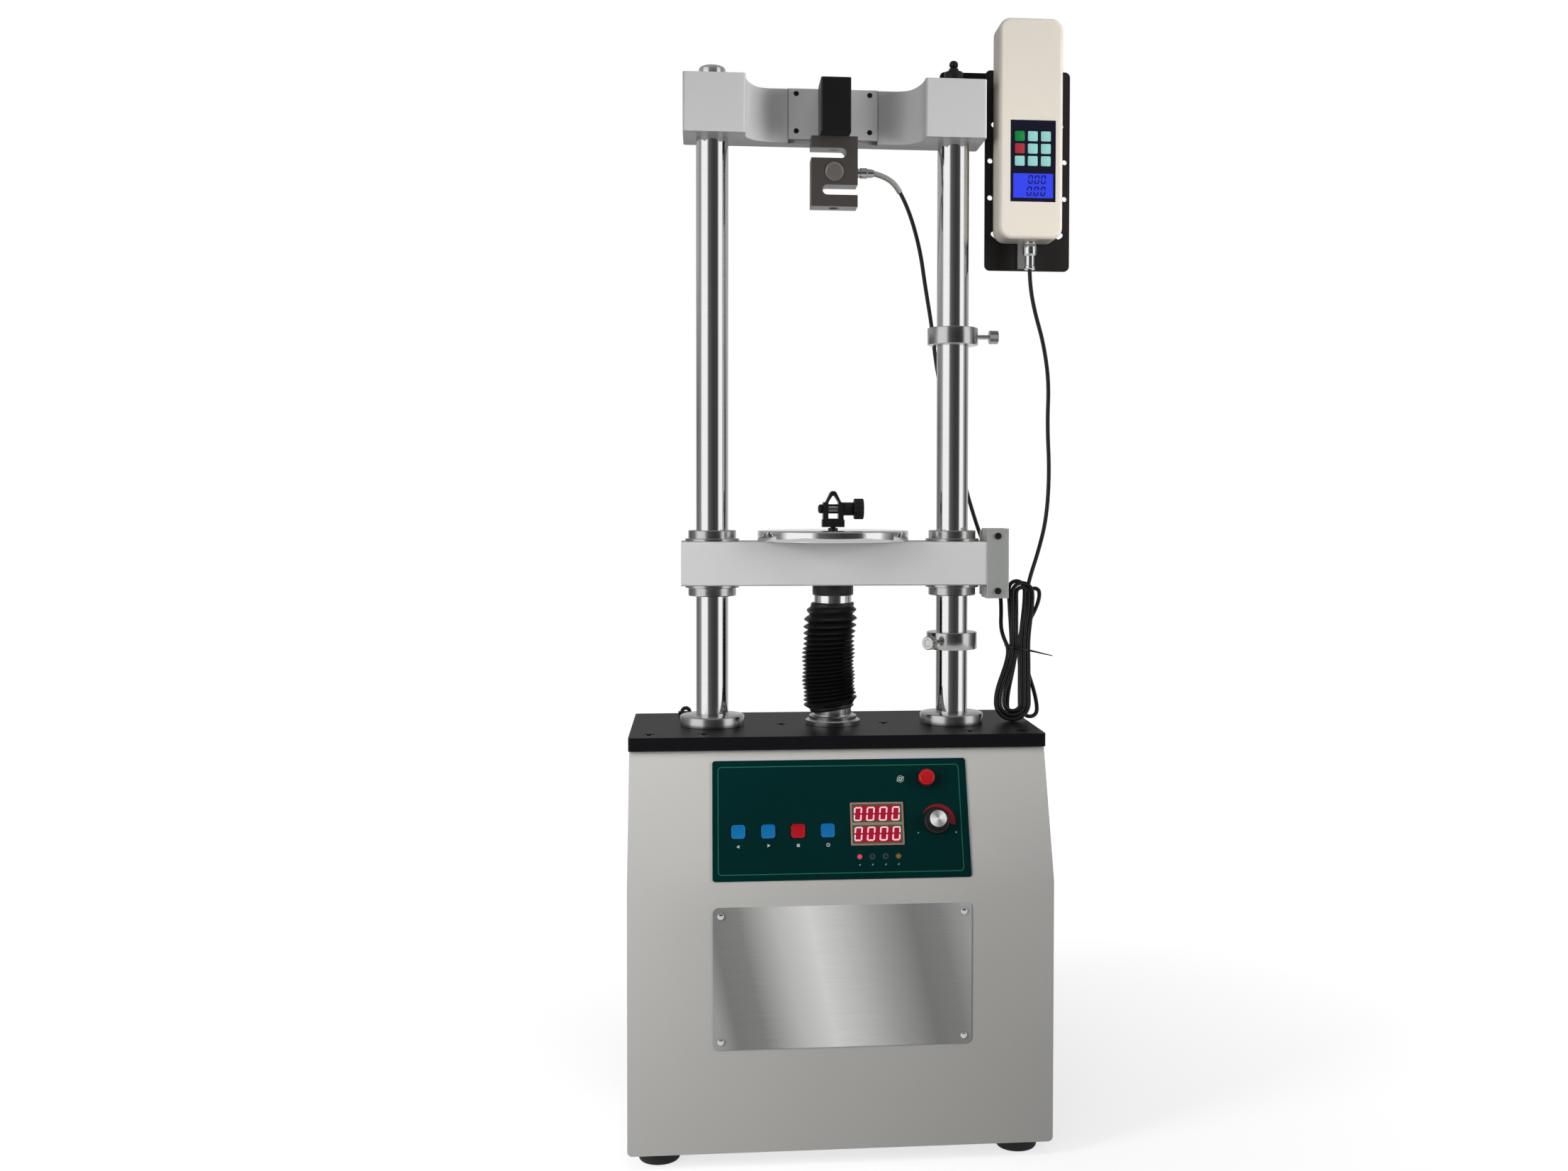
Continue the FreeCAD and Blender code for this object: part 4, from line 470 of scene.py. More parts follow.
metals = {  # colour, roughness, direction of the lines, bump, variation, metal share
    "turnedSteel": ((0.6, 0.595, 0.585), 0.17, (1, 1, 40)),
    "zincSteel": ((0.6, 0.6, 0.6), 0.32, (3, 3, 3)),
    "groundSteel": ((0.2, 0.175, 0.165), 0.34, (60, 1, 1), 0.1, 0.14, 0.8),
    "turnedRing": ((0.6, 0.595, 0.585), 0.2, (1, 1, 6), 0.02, 0.05),
    "discSteel": ((0.34, 0.32, 0.3), 0.3, (60, 1, 1), 0.08, 0.12, 0.75),
    "limitAlu": ((0.43, 0.44, 0.42), 0.45, (1, 1, 12), 0.04, 0.05, 0.55),
    "castAlu": ((0.6, 0.6, 0.6), 0.42, (1, 1, 30), 0.06, 0.05),
    "bronze": ((0.55, 0.36, 0.15), 0.3, (1, 1, 40)),
}
for makeLook, table in ((paintLook, paints), (plasticLook, plastics), (glowLook, glows), (brushedLook, metals)):
    for name, settings in table.items():
        makeLook(name, *settings)
chromeLook("chrome")
plateReflectionLook("plateBrushPaintedBands")
print("looks made")


# camera, from the photograph's own place

cameraFit = {"place": (-0.1406, -1.7267, 0.6854), "yaw": -5.438, "pitch": 1.514, "roll": 0.123, "focal": 2218.8,
    "centre": (1205.9, 759.7), "image": (2213, 1652)}


def aimCamera(fit):
    yaw, pitch, roll = (math.radians(fit[key]) for key in ("yaw", "pitch", "roll"))
    forward = Vector((-math.sin(yaw) * math.cos(pitch), math.cos(yaw) * math.cos(pitch), -math.sin(pitch)))
    right = Vector((math.cos(yaw), math.sin(yaw), 0))
    up = right.cross(forward)
    right, up = (right * math.cos(roll) + up * math.sin(roll), up * math.cos(roll) - right * math.sin(roll))
    dropSelection()
    bpy.ops.object.camera_add()
    made = bpy.context.object
    made.matrix_world = Matrix.Translation(fit["place"]) @ Matrix((right, up, -forward)).transposed().to_4x4()
    width, height = fit["image"]
    made.data.sensor_width = 36
    made.data.lens = fit["focal"] / width * 36
    made.data.shift_x = -(fit["centre"][0] - width / 2) / width
    made.data.shift_y = (fit["centre"][1] - height / 2) / width
    made.data.clip_start = 0.02
    bpy.context.scene.camera = made


aimCamera(cameraFit)
print("camera placed")


# signal cable: load cell to the tied hank to the gauge

cableFit = {"diameter": 0.0045, "tie": (0.2105, 0.516), "pitch": 0.0045, "layer": 0.0046,
    "foot": (0.004, 0.4353), "lean": 0.163, "sleeve": 0.034, "sleeveDiameter": 0.0062}
cellRoute = [
    (0.0448, 0.0, 1.04), (0.058, 0.0006, 1.037), (0.0715, 0.004, 1.0265), (0.0865, 0.011, 0.9983),
    (0.099, 0.0205, 0.959), (0.1055, 0.0285, 0.922), (0.1143, 0.037, 0.8793), (0.1201, 0.0415, 0.835),
    (0.1285, 0.0435, 0.795), (0.138, 0.0445, 0.757), (0.149, 0.0434, 0.719), (0.1585, 0.044, 0.683),
    (0.1725, 0.042, 0.639), (0.187, 0.039, 0.608), (0.1945, 0.0385, 0.58), (0.195, 0.0345, 0.557),
    (0.193, 0.0275, 0.539), (0.1948, 0.019, 0.527),
]
gaugeRoute = [
    (0.2173, -0.006, 0.937), (0.2178, -0.0062, 0.919), (0.2235, -0.0045, 0.891), (0.2344, -0.001, 0.857),
    (0.242, 0.004, 0.814), (0.2413, 0.009, 0.767), (0.2453, 0.014, 0.714), (0.2428, 0.0165, 0.662),
    (0.234, 0.019, 0.624), (0.2255, 0.024, 0.595), (0.2218, 0.03, 0.571), (0.2205, 0.0295, 0.55),
    (0.2185, 0.026, 0.533),
]
# per turn: its places in the tie (left, right, layer), the bottom fold's (left, right, tip)
# and the top fold's (right, left, tip)
hankTurns = [
    ((-2.5, 2.5, -1), (0.1828, 0.2208, 0.4374), (0.2285, 0.205, 0.5885)),
    ((-1.5, 1.5, -1), (0.1874, 0.2163, 0.442), (0.224, 0.2097, 0.5838)),
    ((-0.5, 0.5, -1), (0.1922, 0.2118, 0.4468), (0.2196, 0.2022, 0.5905)),
    ((-1.5, 1.5, 0), (0.185, 0.2202, 0.4376), (0.2262, 0.2088, 0.583)),
    ((-0.5, 0.5, 0), (0.1968, 0.2112, 0.4446), (0.2376, 0.2272, 0.582)),
    ((0.5, 1.5, 1), (0.215, 0.2318, 0.4392), None),
]


def hankDepth(z, layer):
    # the hank leans back as it rises, its turns one layer behind another
    footY, footZ = cableFit["foot"]
    return footY + cableFit["lean"] * (z - footZ) + layer * cableFit["layer"]


def foldPoints(slots, layers, sides, tip):
    # out from the tie along one side, round the fold and back along the other
    tieX, tieZ = cableFit["tie"]
    half = (sides[1] - sides[0]) / 2
    middle = (sides[1] + sides[0]) / 2
    way = 1 if tip > tieZ else -1
    turnZ = tip - way * abs(half)
    places = []
    for share in (0.0, 0.22, 0.46, 0.7, 0.9):
        ease = share * share * (3 - 2 * share)
        slotX = tieX + slots[0] * cableFit["pitch"]
        places.append((slotX + (sides[0] - slotX) * ease, tieZ + (turnZ - tieZ) * share, 0.0))
    for step, angle in enumerate((20, 56, 90, 124, 160)):
        around = math.radians(angle)
        places.append((middle - 1.05 * half * math.cos(around),
            turnZ + way * 1.05 * abs(half) * math.sin(around), (step + 1) / 6))
    for share in (0.9, 0.7, 0.46, 0.22):
        ease = share * share * (3 - 2 * share)
        slotX = tieX + slots[1] * cableFit["pitch"]
        places.append((slotX + (sides[1] - slotX) * ease, tieZ + (turnZ - tieZ) * share, 1.0))
    return [(x, hankDepth(z, layers[0] + (layers[1] - layers[0]) * part), z) for x, z, part in places]


def hankRoute():
    tieX, tieZ = cableFit["tie"]
    points = []
    for index, (slots, bottom, top) in enumerate(hankTurns):
        left, right, layer = slots
        points += foldPoints((left, right), (layer, layer), bottom[:2], bottom[2])
        if top:
            nextLeft, _, nextLayer = hankTurns[index + 1][0]
            points += foldPoints((right, nextLeft), (layer, nextLayer), top[:2], top[2])
        else:
            points.append((tieX + right * cableFit["pitch"], hankDepth(tieZ, layer), tieZ))
    return points


def cordCurve(name, points, diameter, kind="NURBS"):
    curve = bpy.data.curves.new(name, "CURVE")
    curve.dimensions = "3D"
    line = curve.splines.new(kind)
    line.points.add(len(points) - 1)
    for place, point in zip(line.points, points):
        place.co = (*point, 1)
    if kind == "NURBS":
        line.order_u = 3
        line.use_endpoint_u = True
    line.resolution_u = 6
    curve.bevel_depth = diameter / 2
    curve.bevel_resolution = 4
    curve.use_fill_caps = diameter > 0
    made = bpy.data.objects.new(name, curve)
    bpy.context.scene.collection.objects.link(made)
    return made


def splinePlaces(points):
    # where the cable's own line runs, point by point
    probe = cordCurve("probe", points, 0.0)
    line = bpy.data.meshes.new_from_object(probe)
    places = [vert.co.copy() for vert in line.vertices]
    bpy.data.objects.remove(probe)
    bpy.data.meshes.remove(line)
    return places


signalPoints = cellRoute + hankRoute() + gaugeRoute[::-1]
signalPlaces = splinePlaces(signalPoints)
signalCable = cordCurve("signalCable", signalPoints, cableFit["diameter"])
settle(signalCable, "jacket", "cable_hank", smooth=0)
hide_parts("cell_cable", "gauge_cable")

# clear sleeve where the cable leaves the cell's gland
sleevePlaces = [signalPlaces[0]]
for place in signalPlaces[1:]:
    if sum((b - a).length for a, b in zip(sleevePlaces, sleevePlaces[1:])) < cableFit["sleeve"]:
        sleevePlaces.append(place)
sleeve = cordCurve("cableSleeve", sleevePlaces, cableFit["sleeveDiameter"], "POLY")
pick(sleeve)
bpy.ops.object.convert(target="MESH")
sleeve = bpy.context.object
settle(sleeve, "sleeveGrey", beside="cell_cable", smooth=50)

# tie round the middle of the hank: a strap, its head and the tail left over
tieFit = {"across": 0.0148, "deep": 0.0086, "tilt": 13.4, "tail": 0.0275}
tieX, tieZ = cableFit["tie"]
strap = turnPiece("strap", [(0.0094, -0.00135), (0.01, -0.00135), (0.0104, -0.0011), (0.0104, 0.0011),
    (0.01, 0.00135), (0.0094, 0.00135), (0.0094, -0.00135)], steps=72, ring=True)
strap.scale = (tieFit["across"] / 0.01, tieFit["deep"] / 0.01, 1)
applyPlace(strap)
tieHead = padPiece("tieHead", (-0.012, -0.0108, -0.0022), (-0.0072, -0.0072, 0.0022), 0.0005, 0.0002, 1, 2)
tail = padPiece("tieTail", (0, -0.0005, -0.0011), (tieFit["tail"], 0.0005, 0.0011), 0.0003, 0.0, 1, 2)
openMesh(tail)
selectEdges(tail, lambda a, b: a.x > 0.02 and b.x > 0.02)
bpy.ops.transform.resize(value=(1, 0.8, 0.45), center_override=(tieFit["tail"], 0, 0))
closeMesh()
tail.location = (0.0138, 0.0006, 0)
applyPlace(tail)
tie = joined("cableTie", [strap, tieHead, tail])
tie.rotation_euler = (0, math.radians(tieFit["tilt"]), 0)
tie.location = (tieX, hankDepth(tieZ, 0), tieZ)
applyPlace(tie)
settle(tie, "blackPlastic", beside="cable_hank", smooth=40)

glandProfile = [(0.00235, 0.0), (0.0058, 0.0), (0.0058, 0.0014), (0.0048, 0.0016), (0.0048, 0.0034),
    (0.0057, 0.0035), (0.0058, 0.0037), (0.0058, 0.0107), (0.0056, 0.011), (0.0048, 0.012), (0.0046, 0.016),
    (0.0037, 0.019), (0.0032, 0.0194), (0.00235, 0.0194)]
gland = stoodAt(ringPiece("cellGland", glandProfile, steps=64), (0.0254, 0, 1.04), (1, 0, 0))
settle(gland, "turnedSteel", "cell_gland")

plugProfile = [(0.0044, 0.9739), (0.0044, 0.9681), (0.0074, 0.968), (0.0076, 0.9678), (0.0076, 0.9652),
    (0.007, 0.9647), (0.0076, 0.9634), (0.0078, 0.9629), (0.0078, 0.9537), (0.0076, 0.9533), (0.0056, 0.9521),
    (0.0054, 0.9518), (0.0054, 0.9411), (0.006, 0.9406), (0.0062, 0.9404), (0.0062, 0.9383), (0.006, 0.9376),
    (0.0054, 0.937), (0.0023, 0.937)]
signalPlug = turnPiece("signalPlug", plugProfile, (0.2173, -0.006, 0), 72)
settle(signalPlug, "chrome", "gauge_connector")
print("cable made")


# base: casing, plate, feet, frame on the slope

slopeFit = {"edge": (-0.084, 0.421), "forward": 0.0535, "down": 0.1325}


def slopePoint(x, drop, out=0.0):
    # from the slope's upper edge: right, down the slope and out of it
    lean = math.atan2(slopeFit["forward"], slopeFit["down"])
    edgeY, edgeZ = slopeFit["edge"]
    return Vector((x, edgeY - drop * math.sin(lean) - out * math.cos(lean),
        edgeZ - drop * math.cos(lean) + out * math.sin(lean)))


slopeOut = (slopePoint(0, 0, 1) - slopePoint(0, 0, 0)).normalized()
slopeTurn = Matrix((Vector((1, 0, 0)), -(slopePoint(0, 1) - slopePoint(0, 0)), slopeOut)).transposed().to_4x4()


def laidOnSlope(piece, x=0.0, drop=0.0, out=0.0):
    # built with X right, Y up the slope and Z out of the panel
    piece.matrix_world = Matrix.Translation(slopePoint(x, drop, out)) @ slopeTurn
    applyPlace(piece)
    return piece


dress("casing", "casePaint", 0.0006, 2)
dress("rear_cover", "casePaint", 0.0003, 1)
dress("base_plate", "platePaint", 0.0012, 3)
dress("base_frame", "innerSteel", 0.0008, 1)
dress("power_inlet", "blackPlastic", 0.0003, 1)
dress("power_rocker", "blackPlastic", 0.0003, 2)

# black cord clip on the plate's back edge
clipFit = {"at": (-0.1625, 0.0925), "height": 0.4372, "half": 0.0044, "wire": 0.0021}
dropSelection()
bpy.ops.mesh.primitive_torus_add(major_radius=clipFit["half"], minor_radius=clipFit["wire"], major_segments=48,
    minor_segments=16, location=(0, 0, 0))
clip = bpy.context.object
openMesh(clip, "SELECT")
bpy.ops.mesh.bisect(plane_co=(0, -0.0001, 0), plane_no=(0, 1, 0), clear_inner=True, use_fill=True)
closeMesh()
mendNormals(clip)
clip.rotation_euler = (math.radians(90), 0, 0)
clipX, clipY = clipFit["at"]
clip.location = (clipX, clipY, clipFit["height"])
applyPlace(clip)
clipFoot = padPiece("clipFoot", (clipX - 0.0085, clipY - 0.004, 0.4351),
    (clipX + 0.0066, clipY + 0.004, 0.4378), 0.0015, 0.0004)
settle(joined("plateClip", [clip, clipFoot]), "blackPlastic", beside="base_plate", smooth=40)

footFit = {"places": [(-0.1875, -0.1005), (0.1875, -0.1005), (-0.1875, 0.06), (0.1875, 0.06)],
    "profile": [(0.0187, 0.0), (0.0201, 0.0004), (0.0211, 0.0016), (0.0215, 0.0034), (0.0213, 0.007),
    (0.0206, 0.0135), (0.0201, 0.0156), (0.019, 0.0168), (0.0178, 0.017)]}
soles = [turnPiece("sole", footFit["profile"], (x, y, 0), 72) for x, y in footFit["places"]]
studs = [turnPiece("footStud", [(0.003, 0.0169), (0.003, 0.0225), (0.0026, 0.023)], (x, y, 0), 24)
    for x, y in footFit["places"]]
settle(joined("rubberFeet", soles + studs), "footRubber", "feet", smooth=40)
print("base made")


# screws, nuts and caps of the stand

columnX = 0.1325
plateFit = {"middle": 0.196, "front": -0.1385, "screwX": 0.1247, "screwZ": 0.0642, "cover": 0.0965}


def capScrew(x, y, seat=0.4285):
    rim = [(0.0003, seat), (0.0049, seat), (0.005, seat + 0.0002), (0.005, seat + 0.0055),
        (0.0045, seat + 0.006), (0.003, seat + 0.006)]
    head = turnPiece("capHead", rim, (x, y, 0), 48, ring=True)
    openMesh(head)
    selectEdges(head, lambda a, b: a.z > seat + 0.0059 and b.z > seat + 0.0059
        and (a.xy - Vector((x, y))).length < 0.0032 and (b.xy - Vector((x, y))).length < 0.0032)
    extruded(0, 0, -0.003)
    bpy.ops.mesh.edge_face_add()
    closeMesh()
    mendNormals(head)
    shank = turnPiece("capShank", [(0.0029, 0.4105), (0.0029, seat)], (x, y, 0), 24)
    return [head, shank]


capPlaces = [(-0.199, -0.0675), (-0.142, -0.0675), (0.142, -0.0675), (0.199, -0.0675), (-0.0565, 0.0),
    (0.0565, 0.0)]
screws = []
for x, y in capPlaces:
    screws += capScrew(x, y)
domeProfile = [(0.0081, 1.1375), (0.0143, 1.1375), (0.0145, 1.1378), (0.0145, 1.1478), (0.0142, 1.149),
    (0.013, 1.1504), (0.0105, 1.1515), (0.007, 1.152), (0.0004, 1.152)]
screws.append(turnPiece("headCap", domeProfile, (-columnX, 0, 0), 96))
nutProfile = [(0.0102, 0.411), (0.016, 0.411), (0.016, 0.4208), (0.0102, 0.4208)]
for x in (-columnX, columnX):
    screws.append(turnPiece("columnNut", nutProfile, (x, 0, 0), 6))
coverScrews = [(x, z) for x in (-0.21, 0.0, 0.21) for z in (0.026, 0.414)] + [(-0.21, 0.22), (0.21, 0.22)]


def panHead(radius, height):
    return [(radius * 0.5, -0.005), (radius * 0.5, 0.0), (radius, 0.0), (radius, height * 0.35),
            (radius * 0.94, height * 0.62), (radius * 0.78, height * 0.85), (radius * 0.5, height * 0.96),
            (radius * 0.16, height)]


for x, z in coverScrews:
    head = turnPiece("coverScrew", panHead(0.0035, 0.002), steps=40)
    screws.append(stoodAt(head, (x, plateFit["cover"], z), (0, 1, 0)))
for x in (-plateFit["screwX"], plateFit["screwX"]):
    for z in (-plateFit["screwZ"], plateFit["screwZ"]):
        head = turnPiece("nameplateScrew", panHead(0.0036, 0.0021), steps=48)
        screws.append(stoodAt(head, (x, plateFit["front"], plateFit["middle"] + z), (0, -1, 0)))
settle(joined("standScrews", screws), "chrome", "fasteners")
armScrewFit = {"x": (-0.0405, 0.0405), "z": (1.0868, 1.1275), "face": 0.0085,
    "profile": [(0.0028, -0.015), (0.0028, -0.0008), (0.0024, -0.0004), (0.0013, -0.0004)]}
armScrews = [stoodAt(turnPiece("armScrew", armScrewFit["profile"], steps=40), (x, armScrewFit["face"], z),
    (0, -1, 0)) for x in armScrewFit["x"] for z in armScrewFit["z"]]
settle(joined("armScrews", armScrews), "blackSteel", "fasteners")
print("screws made")


# columns and their flanges

def columnShaft(x):
    top = 1.1475 if x < 0 else 1.1515
    profile = [(0.01, 0.409), (0.01, 0.435), (0.0175, 0.4351), (0.0175, 1.1199), (0.008, 1.12),
        (0.008, top - 0.001), (0.007, top)]
    return turnPiece("columnShaft", profile, (x, 0, 0), 160)


shafts = [columnShaft(-columnX), columnShaft(columnX)]
settle(joined("chromeColumns", shafts), "chrome", "columns", smooth=35)

flangeProfile = [(0.01765, 0.4354), (0.0348, 0.4351), (0.035, 0.4354), (0.035, 0.4454), (0.0346, 0.4462),
    (0.034, 0.4465), (0.0188, 0.4465), (0.0178, 0.4458), (0.01765, 0.445)]
flanges = [ringPiece("flange", flangeProfile, (x, 0, 0), 128) for x in (-columnX, columnX)]
settle(joined("columnFlanges", flanges), "turnedRing", "column_flanges")
print("columns made")


# top crosshead, load arm, load cell

dress("top_crosshead", "headPaint", 0.0008, 3)
dress("arm_mount_plate", "headPaint", 0.0005, 2)
plateLow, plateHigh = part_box("arm_mount_plate")
# painted shade: two thin dark strips beside the arm plate stand for the shadow lines along its edges
seamShadowStrips = [padPiece("plateSeamShadow", (side * 0.0495 - 0.00025, 0.0088, plateLow[2] + 0.0005),
    (side * 0.0495 + 0.00025, 0.0108, plateHigh[2] - 0.0005), 0.0001, 0.0, 1, 2) for side in (-1, 1)]
settle(joined("plateSeamShadows", seamShadowStrips), "blackPlastic", beside="arm_mount_plate", smooth=0)
dress("load_arm", "blackSteel", 0.0006, 2)
dress("load_cell", "groundSteel", 0.0005, 2)
cellFit = {"disc": 0.0103, "front": 0.0127, "middle": 1.0394}
discRim = cellFit["disc"]
discProfile = [(discRim, -0.0004), (discRim, 0.00012), (discRim - 0.0003, 0.0004), (discRim - 0.0012, 0.00045),
    (discRim - 0.0016, 0.0002), (0.0015, 0.0002)]
for side in (-1, 1):
    disc = turnPiece("cellDisc", discProfile, steps=96)
    disc = stoodAt(disc, (0, side * cellFit["front"], cellFit["middle"]), (0, side, 0))
    settle(disc, "discSteel", beside="load_cell")
print("load train made")


# ram, guide, bellows

guideProfile = [(0.01905, 0.395), (0.0235, 0.395), (0.0235, 0.435), (0.0298, 0.4351), (0.03, 0.4354),
    (0.03, 0.4398), (0.0294, 0.4405), (0.0262, 0.4405), (0.026, 0.4408), (0.026, 0.4445), (0.025, 0.4455),
    (0.0205, 0.4456), (0.0205, 0.4555), (0.01905, 0.4555)]
settle(ringPiece("ramGuide", guideProfile, steps=112), "turnedRing", "ram_guide")
tubeProfile = [(0.012, 0.144), (0.019, 0.144), (0.019, 0.5651), (0.0205, 0.5652), (0.0205, 0.5771),
    (0.0081, 0.5772), (0.008, 0.617), (0.007, 0.6172)]
settle(turnPiece("ramTube", tubeProfile, steps=112), "chrome", "ram_tube")
bossProfile = [(0.0082, 0.5773), (0.021, 0.5772), (0.0219, 0.5776), (0.0225, 0.5786), (0.0225, 0.5889),
    (0.0222, 0.5892), (0.0082, 0.5892)]
settle(ringPiece("ramBoss", bossProfile, steps=96), "blackSteel", "ram_boss")

# the crests are the heights of the pleats, top to bottom
bellowsFit = {"crests": [0.5612, 0.5513, 0.5433, 0.5365, 0.5308, 0.5252, 0.5202, 0.516, 0.5113, 0.5071, 0.5027,
    0.4988, 0.4947, 0.4906, 0.4866, 0.4825, 0.4786, 0.4742, 0.4704, 0.4662, 0.4614], "root": 0.0236,
    "crest": 0.0288, "bulge": 0.0006, "firstLess": 0.0012, "lean": 0.17, "low": 0.452, "high": 0.569,
    "hang": 0.005}


def bellowsSway(height):
    # the gaiter hangs a little to the left about its middle
    share = (height - bellowsFit["low"]) / (bellowsFit["high"] - bellowsFit["low"])
    return (-bellowsFit["hang"] * math.sin(math.pi * share ** 0.8) ** 0.7 if 0 < share < 1 else 0.0, 0.0)


def bellowsProfile():
    crests = bellowsFit["crests"]
    line = [(0.0212, 0.569), (0.0228, 0.5692), (0.0236, 0.5688), (0.0238, 0.5675), (0.0238, 0.5655)]
    edges = [0.5648] + [(a + b) / 2 for a, b in zip(crests, crests[1:])] + [0.4562]
    for index, crest in enumerate(crests):
        radius = bellowsFit["crest"] + bellowsFit["bulge"] * math.sin(7.3 * index)
        if index == 0:
            radius -= bellowsFit["firstLess"]
        above, below = (edges[index], edges[index + 1])
        root = bellowsFit["root"]
        line += [(root, above), (root + (radius - root) * 0.5, above + (crest - above) * 0.42),
            (radius - 0.0006, crest + (above - crest) * 0.22), (radius, crest),
            (radius - 0.0006, crest + (below - crest) * 0.22),
            (root + (radius - root) * 0.5, below + (crest - below) * 0.42)]
    return line + [(bellowsFit["root"], 0.456), (0.0238, 0.4553), (0.0238, 0.4528), (0.0234, 0.4521),
        (0.0212, 0.4521)]


bellows = turnPiece("ramBellows", bellowsProfile() + bellowsProfile()[:1], steps=88, ring=True,
    sway=bellowsSway)


def leanPleat(place):
    # the pleats tip further the lower they are
    share = min(max((place.z - 0.4521) / 0.117, 0), 1)
    part = 1 if place.xy.length > 0.0225 else 0.5
    return place + Vector((0, 0, place.x * bellowsFit["lean"] * (1 - share) ** 1.1 * part))


moveVerts(bellows, leanPleat)
smoothed(bellows, 50).data.materials.append(looks["rubberBlack"])
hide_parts("ram_bellows")
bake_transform(bellows)
print("ram made")


# moving crosshead with bushes, platen and grip

dress("moving_crosshead", "headPaint", 0.0006, 2)


crossheadFaces = {1: 0.6367, -1: 0.5892}  # the heights of its upper and lower face


def bushPiece(x, side):
    profile = [(0.01755, -0.02275), (0.022, -0.02275), (0.022, 0.0), (0.0293, 0.0001), (0.0295, 0.0003),
        (0.0295, 0.0027), (0.0292, 0.003), (0.0262, 0.003), (0.026, 0.0033), (0.026, 0.0113), (0.0254, 0.012),
        (0.02, 0.012), (0.019, 0.0116), (0.01755, 0.01)]
    return stoodAt(ringPiece("bush", profile, steps=112), (x, 0, crossheadFaces[side]), (0, 0, side))


bushes = joined("columnBushes", [bushPiece(x, side) for x in (-columnX, columnX) for side in (-1, 1)])
settle(bushes, "turnedRing", "column_bushes")

platenProfile = [(0.003, 0.6368), (0.082, 0.6367), (0.0827, 0.6369), (0.083, 0.6374), (0.083, 0.647),
    (0.0828, 0.6477), (0.0824, 0.6482), (0.0815, 0.6485), (0.003, 0.6485)]
settle(ringPiece("platenDisc", platenProfile, steps=224), "chrome", "platen")

dress("grip_yoke", "blackSteel", 0.0005, 2)


def alongX(profile, places=48, start=0.0, at=(0, 0)):
    return stoodAt(turnPiece("turnedPart", profile, steps=places), (start, at[0], at[1]), (1, 0, 0))


def knurled(piece, count, depth, low, high, axisPoint, axis):
    # waves round the rim, between two heights along the axis
    axis = Vector(axis).normalized()
    side = axis.orthogonal().normalized()
    other = axis.cross(side)

    def drawnIn(place):
        offset = place - Vector(axisPoint)
        along = offset.dot(axis)
        around = offset - axis * along
        if not (low <= along <= high and around.length > 0):
            return place
        angle = math.atan2(around.dot(other), around.dot(side))
        return place - around.normalized() * depth * (0.5 - 0.5 * math.cos(angle * count))

    moveVerts(piece, drawnIn)
    return piece


arm, gripHeight = (0.0115, 0.6722)  # half the pin in the yoke, and its height
spindle = alongX([(0.0039, -arm), (0.004, -arm + 0.0002), (0.004, arm + 0.001)], 48, at=(0, gripHeight))
acorn = alongX([(0.0048, -arm + 0.0001), (0.005, -arm - 0.0003), (0.005, -arm - 0.0026), (0.0045, -arm - 0.004),
    (0.0032, -arm - 0.0048), (0.0012, -arm - 0.0051)], 48, at=(0, gripHeight))
knobHub = alongX([(0.0066, arm), (0.0073, arm + 0.0006), (0.0073, arm + 0.0108), (0.0068, arm + 0.0115)], 72,
    at=(0, gripHeight))
rimProfile = [(0.0085, arm + 0.0113), (0.0107, arm + 0.0115), (0.0114, arm + 0.0119), (0.0117, arm + 0.0127),
    (0.0117, arm + 0.0208), (0.0114, arm + 0.0216), (0.0106, arm + 0.022), (0.004, arm + 0.0221)]
knobRim = alongX(rimProfile, 240, at=(0, gripHeight))
knurled(knobRim, 12, 0.001, arm + 0.0116, arm + 0.0217, (0, 0, gripHeight), (1, 0, 0))
gripKnob = joined("gripKnob", [spindle, acorn, knobHub, knobRim])
settle(gripKnob, "blackSteel", "grip_knob", smooth=40)
roller = alongX([(0.00415, -0.0052), (0.0052, -0.0051), (0.0052, 0.0051), (0.00415, 0.0052)], 48,
    at=(0, gripHeight))
settle(roller, "turnedSteel", "grip_knob")
print("grip made")


# limit switch housing

dress("limit_housing", "limitAlu", 0.0008, 3)
dress("limit_switch", "blackPlastic", 0.0006, 2)
limitScrewFit = {"at": (0.17825, -0.033), "heights": (0.583, 0.643),
    "profile": [(0.0022, -0.004), (0.0022, 0.0004), (0.0036, 0.0005), (0.0036, 0.0013), (0.003, 0.0022),
    (0.0012, 0.0025)]}
limitScrews = [stoodAt(turnPiece("limitScrew", limitScrewFit["profile"], steps=40), (*limitScrewFit["at"], z),
    (0, -1, 0)) for z in limitScrewFit["heights"]]
settle(joined("limitScrews", limitScrews), "blackSteel", "limit_housing")


# stop collars and thumb screws

collarProfile = [(0.01755, 0.0002), (0.0182, 0.0), (0.0268, 0.0), (0.0277, 0.0004), (0.0279, 0.0012),
    (0.0279, 0.0178), (0.0277, 0.0186), (0.0268, 0.019), (0.0182, 0.019), (0.01755, 0.0188)]


def thumbPiece(name, low, turn):
    around = math.radians(turn)
    direction = Vector((math.cos(around), math.sin(around), 0))
    shaft = turnPiece("thumbShaft", [(0.0022, 0.0179), (0.0025, 0.0183), (0.0025, 0.0406)], steps=40)
    head = turnPiece("thumbHead", [(0.004, 0.0405), (0.0066, 0.0406), (0.0073, 0.041), (0.0074, 0.0414),
        (0.0074, 0.0498), (0.0073, 0.0502), (0.0067, 0.0506), (0.004, 0.0506), (0.0038, 0.0501),
        (0.001, 0.0501)], steps=288)
    knurled(head, 48, 0.0003, 0.0408, 0.0504, (0, 0, 0), (0, 0, 1))
    whole = joined(name, [shaft, head])
    return stoodAt(whole, (columnX, 0, low + 0.0095), direction)


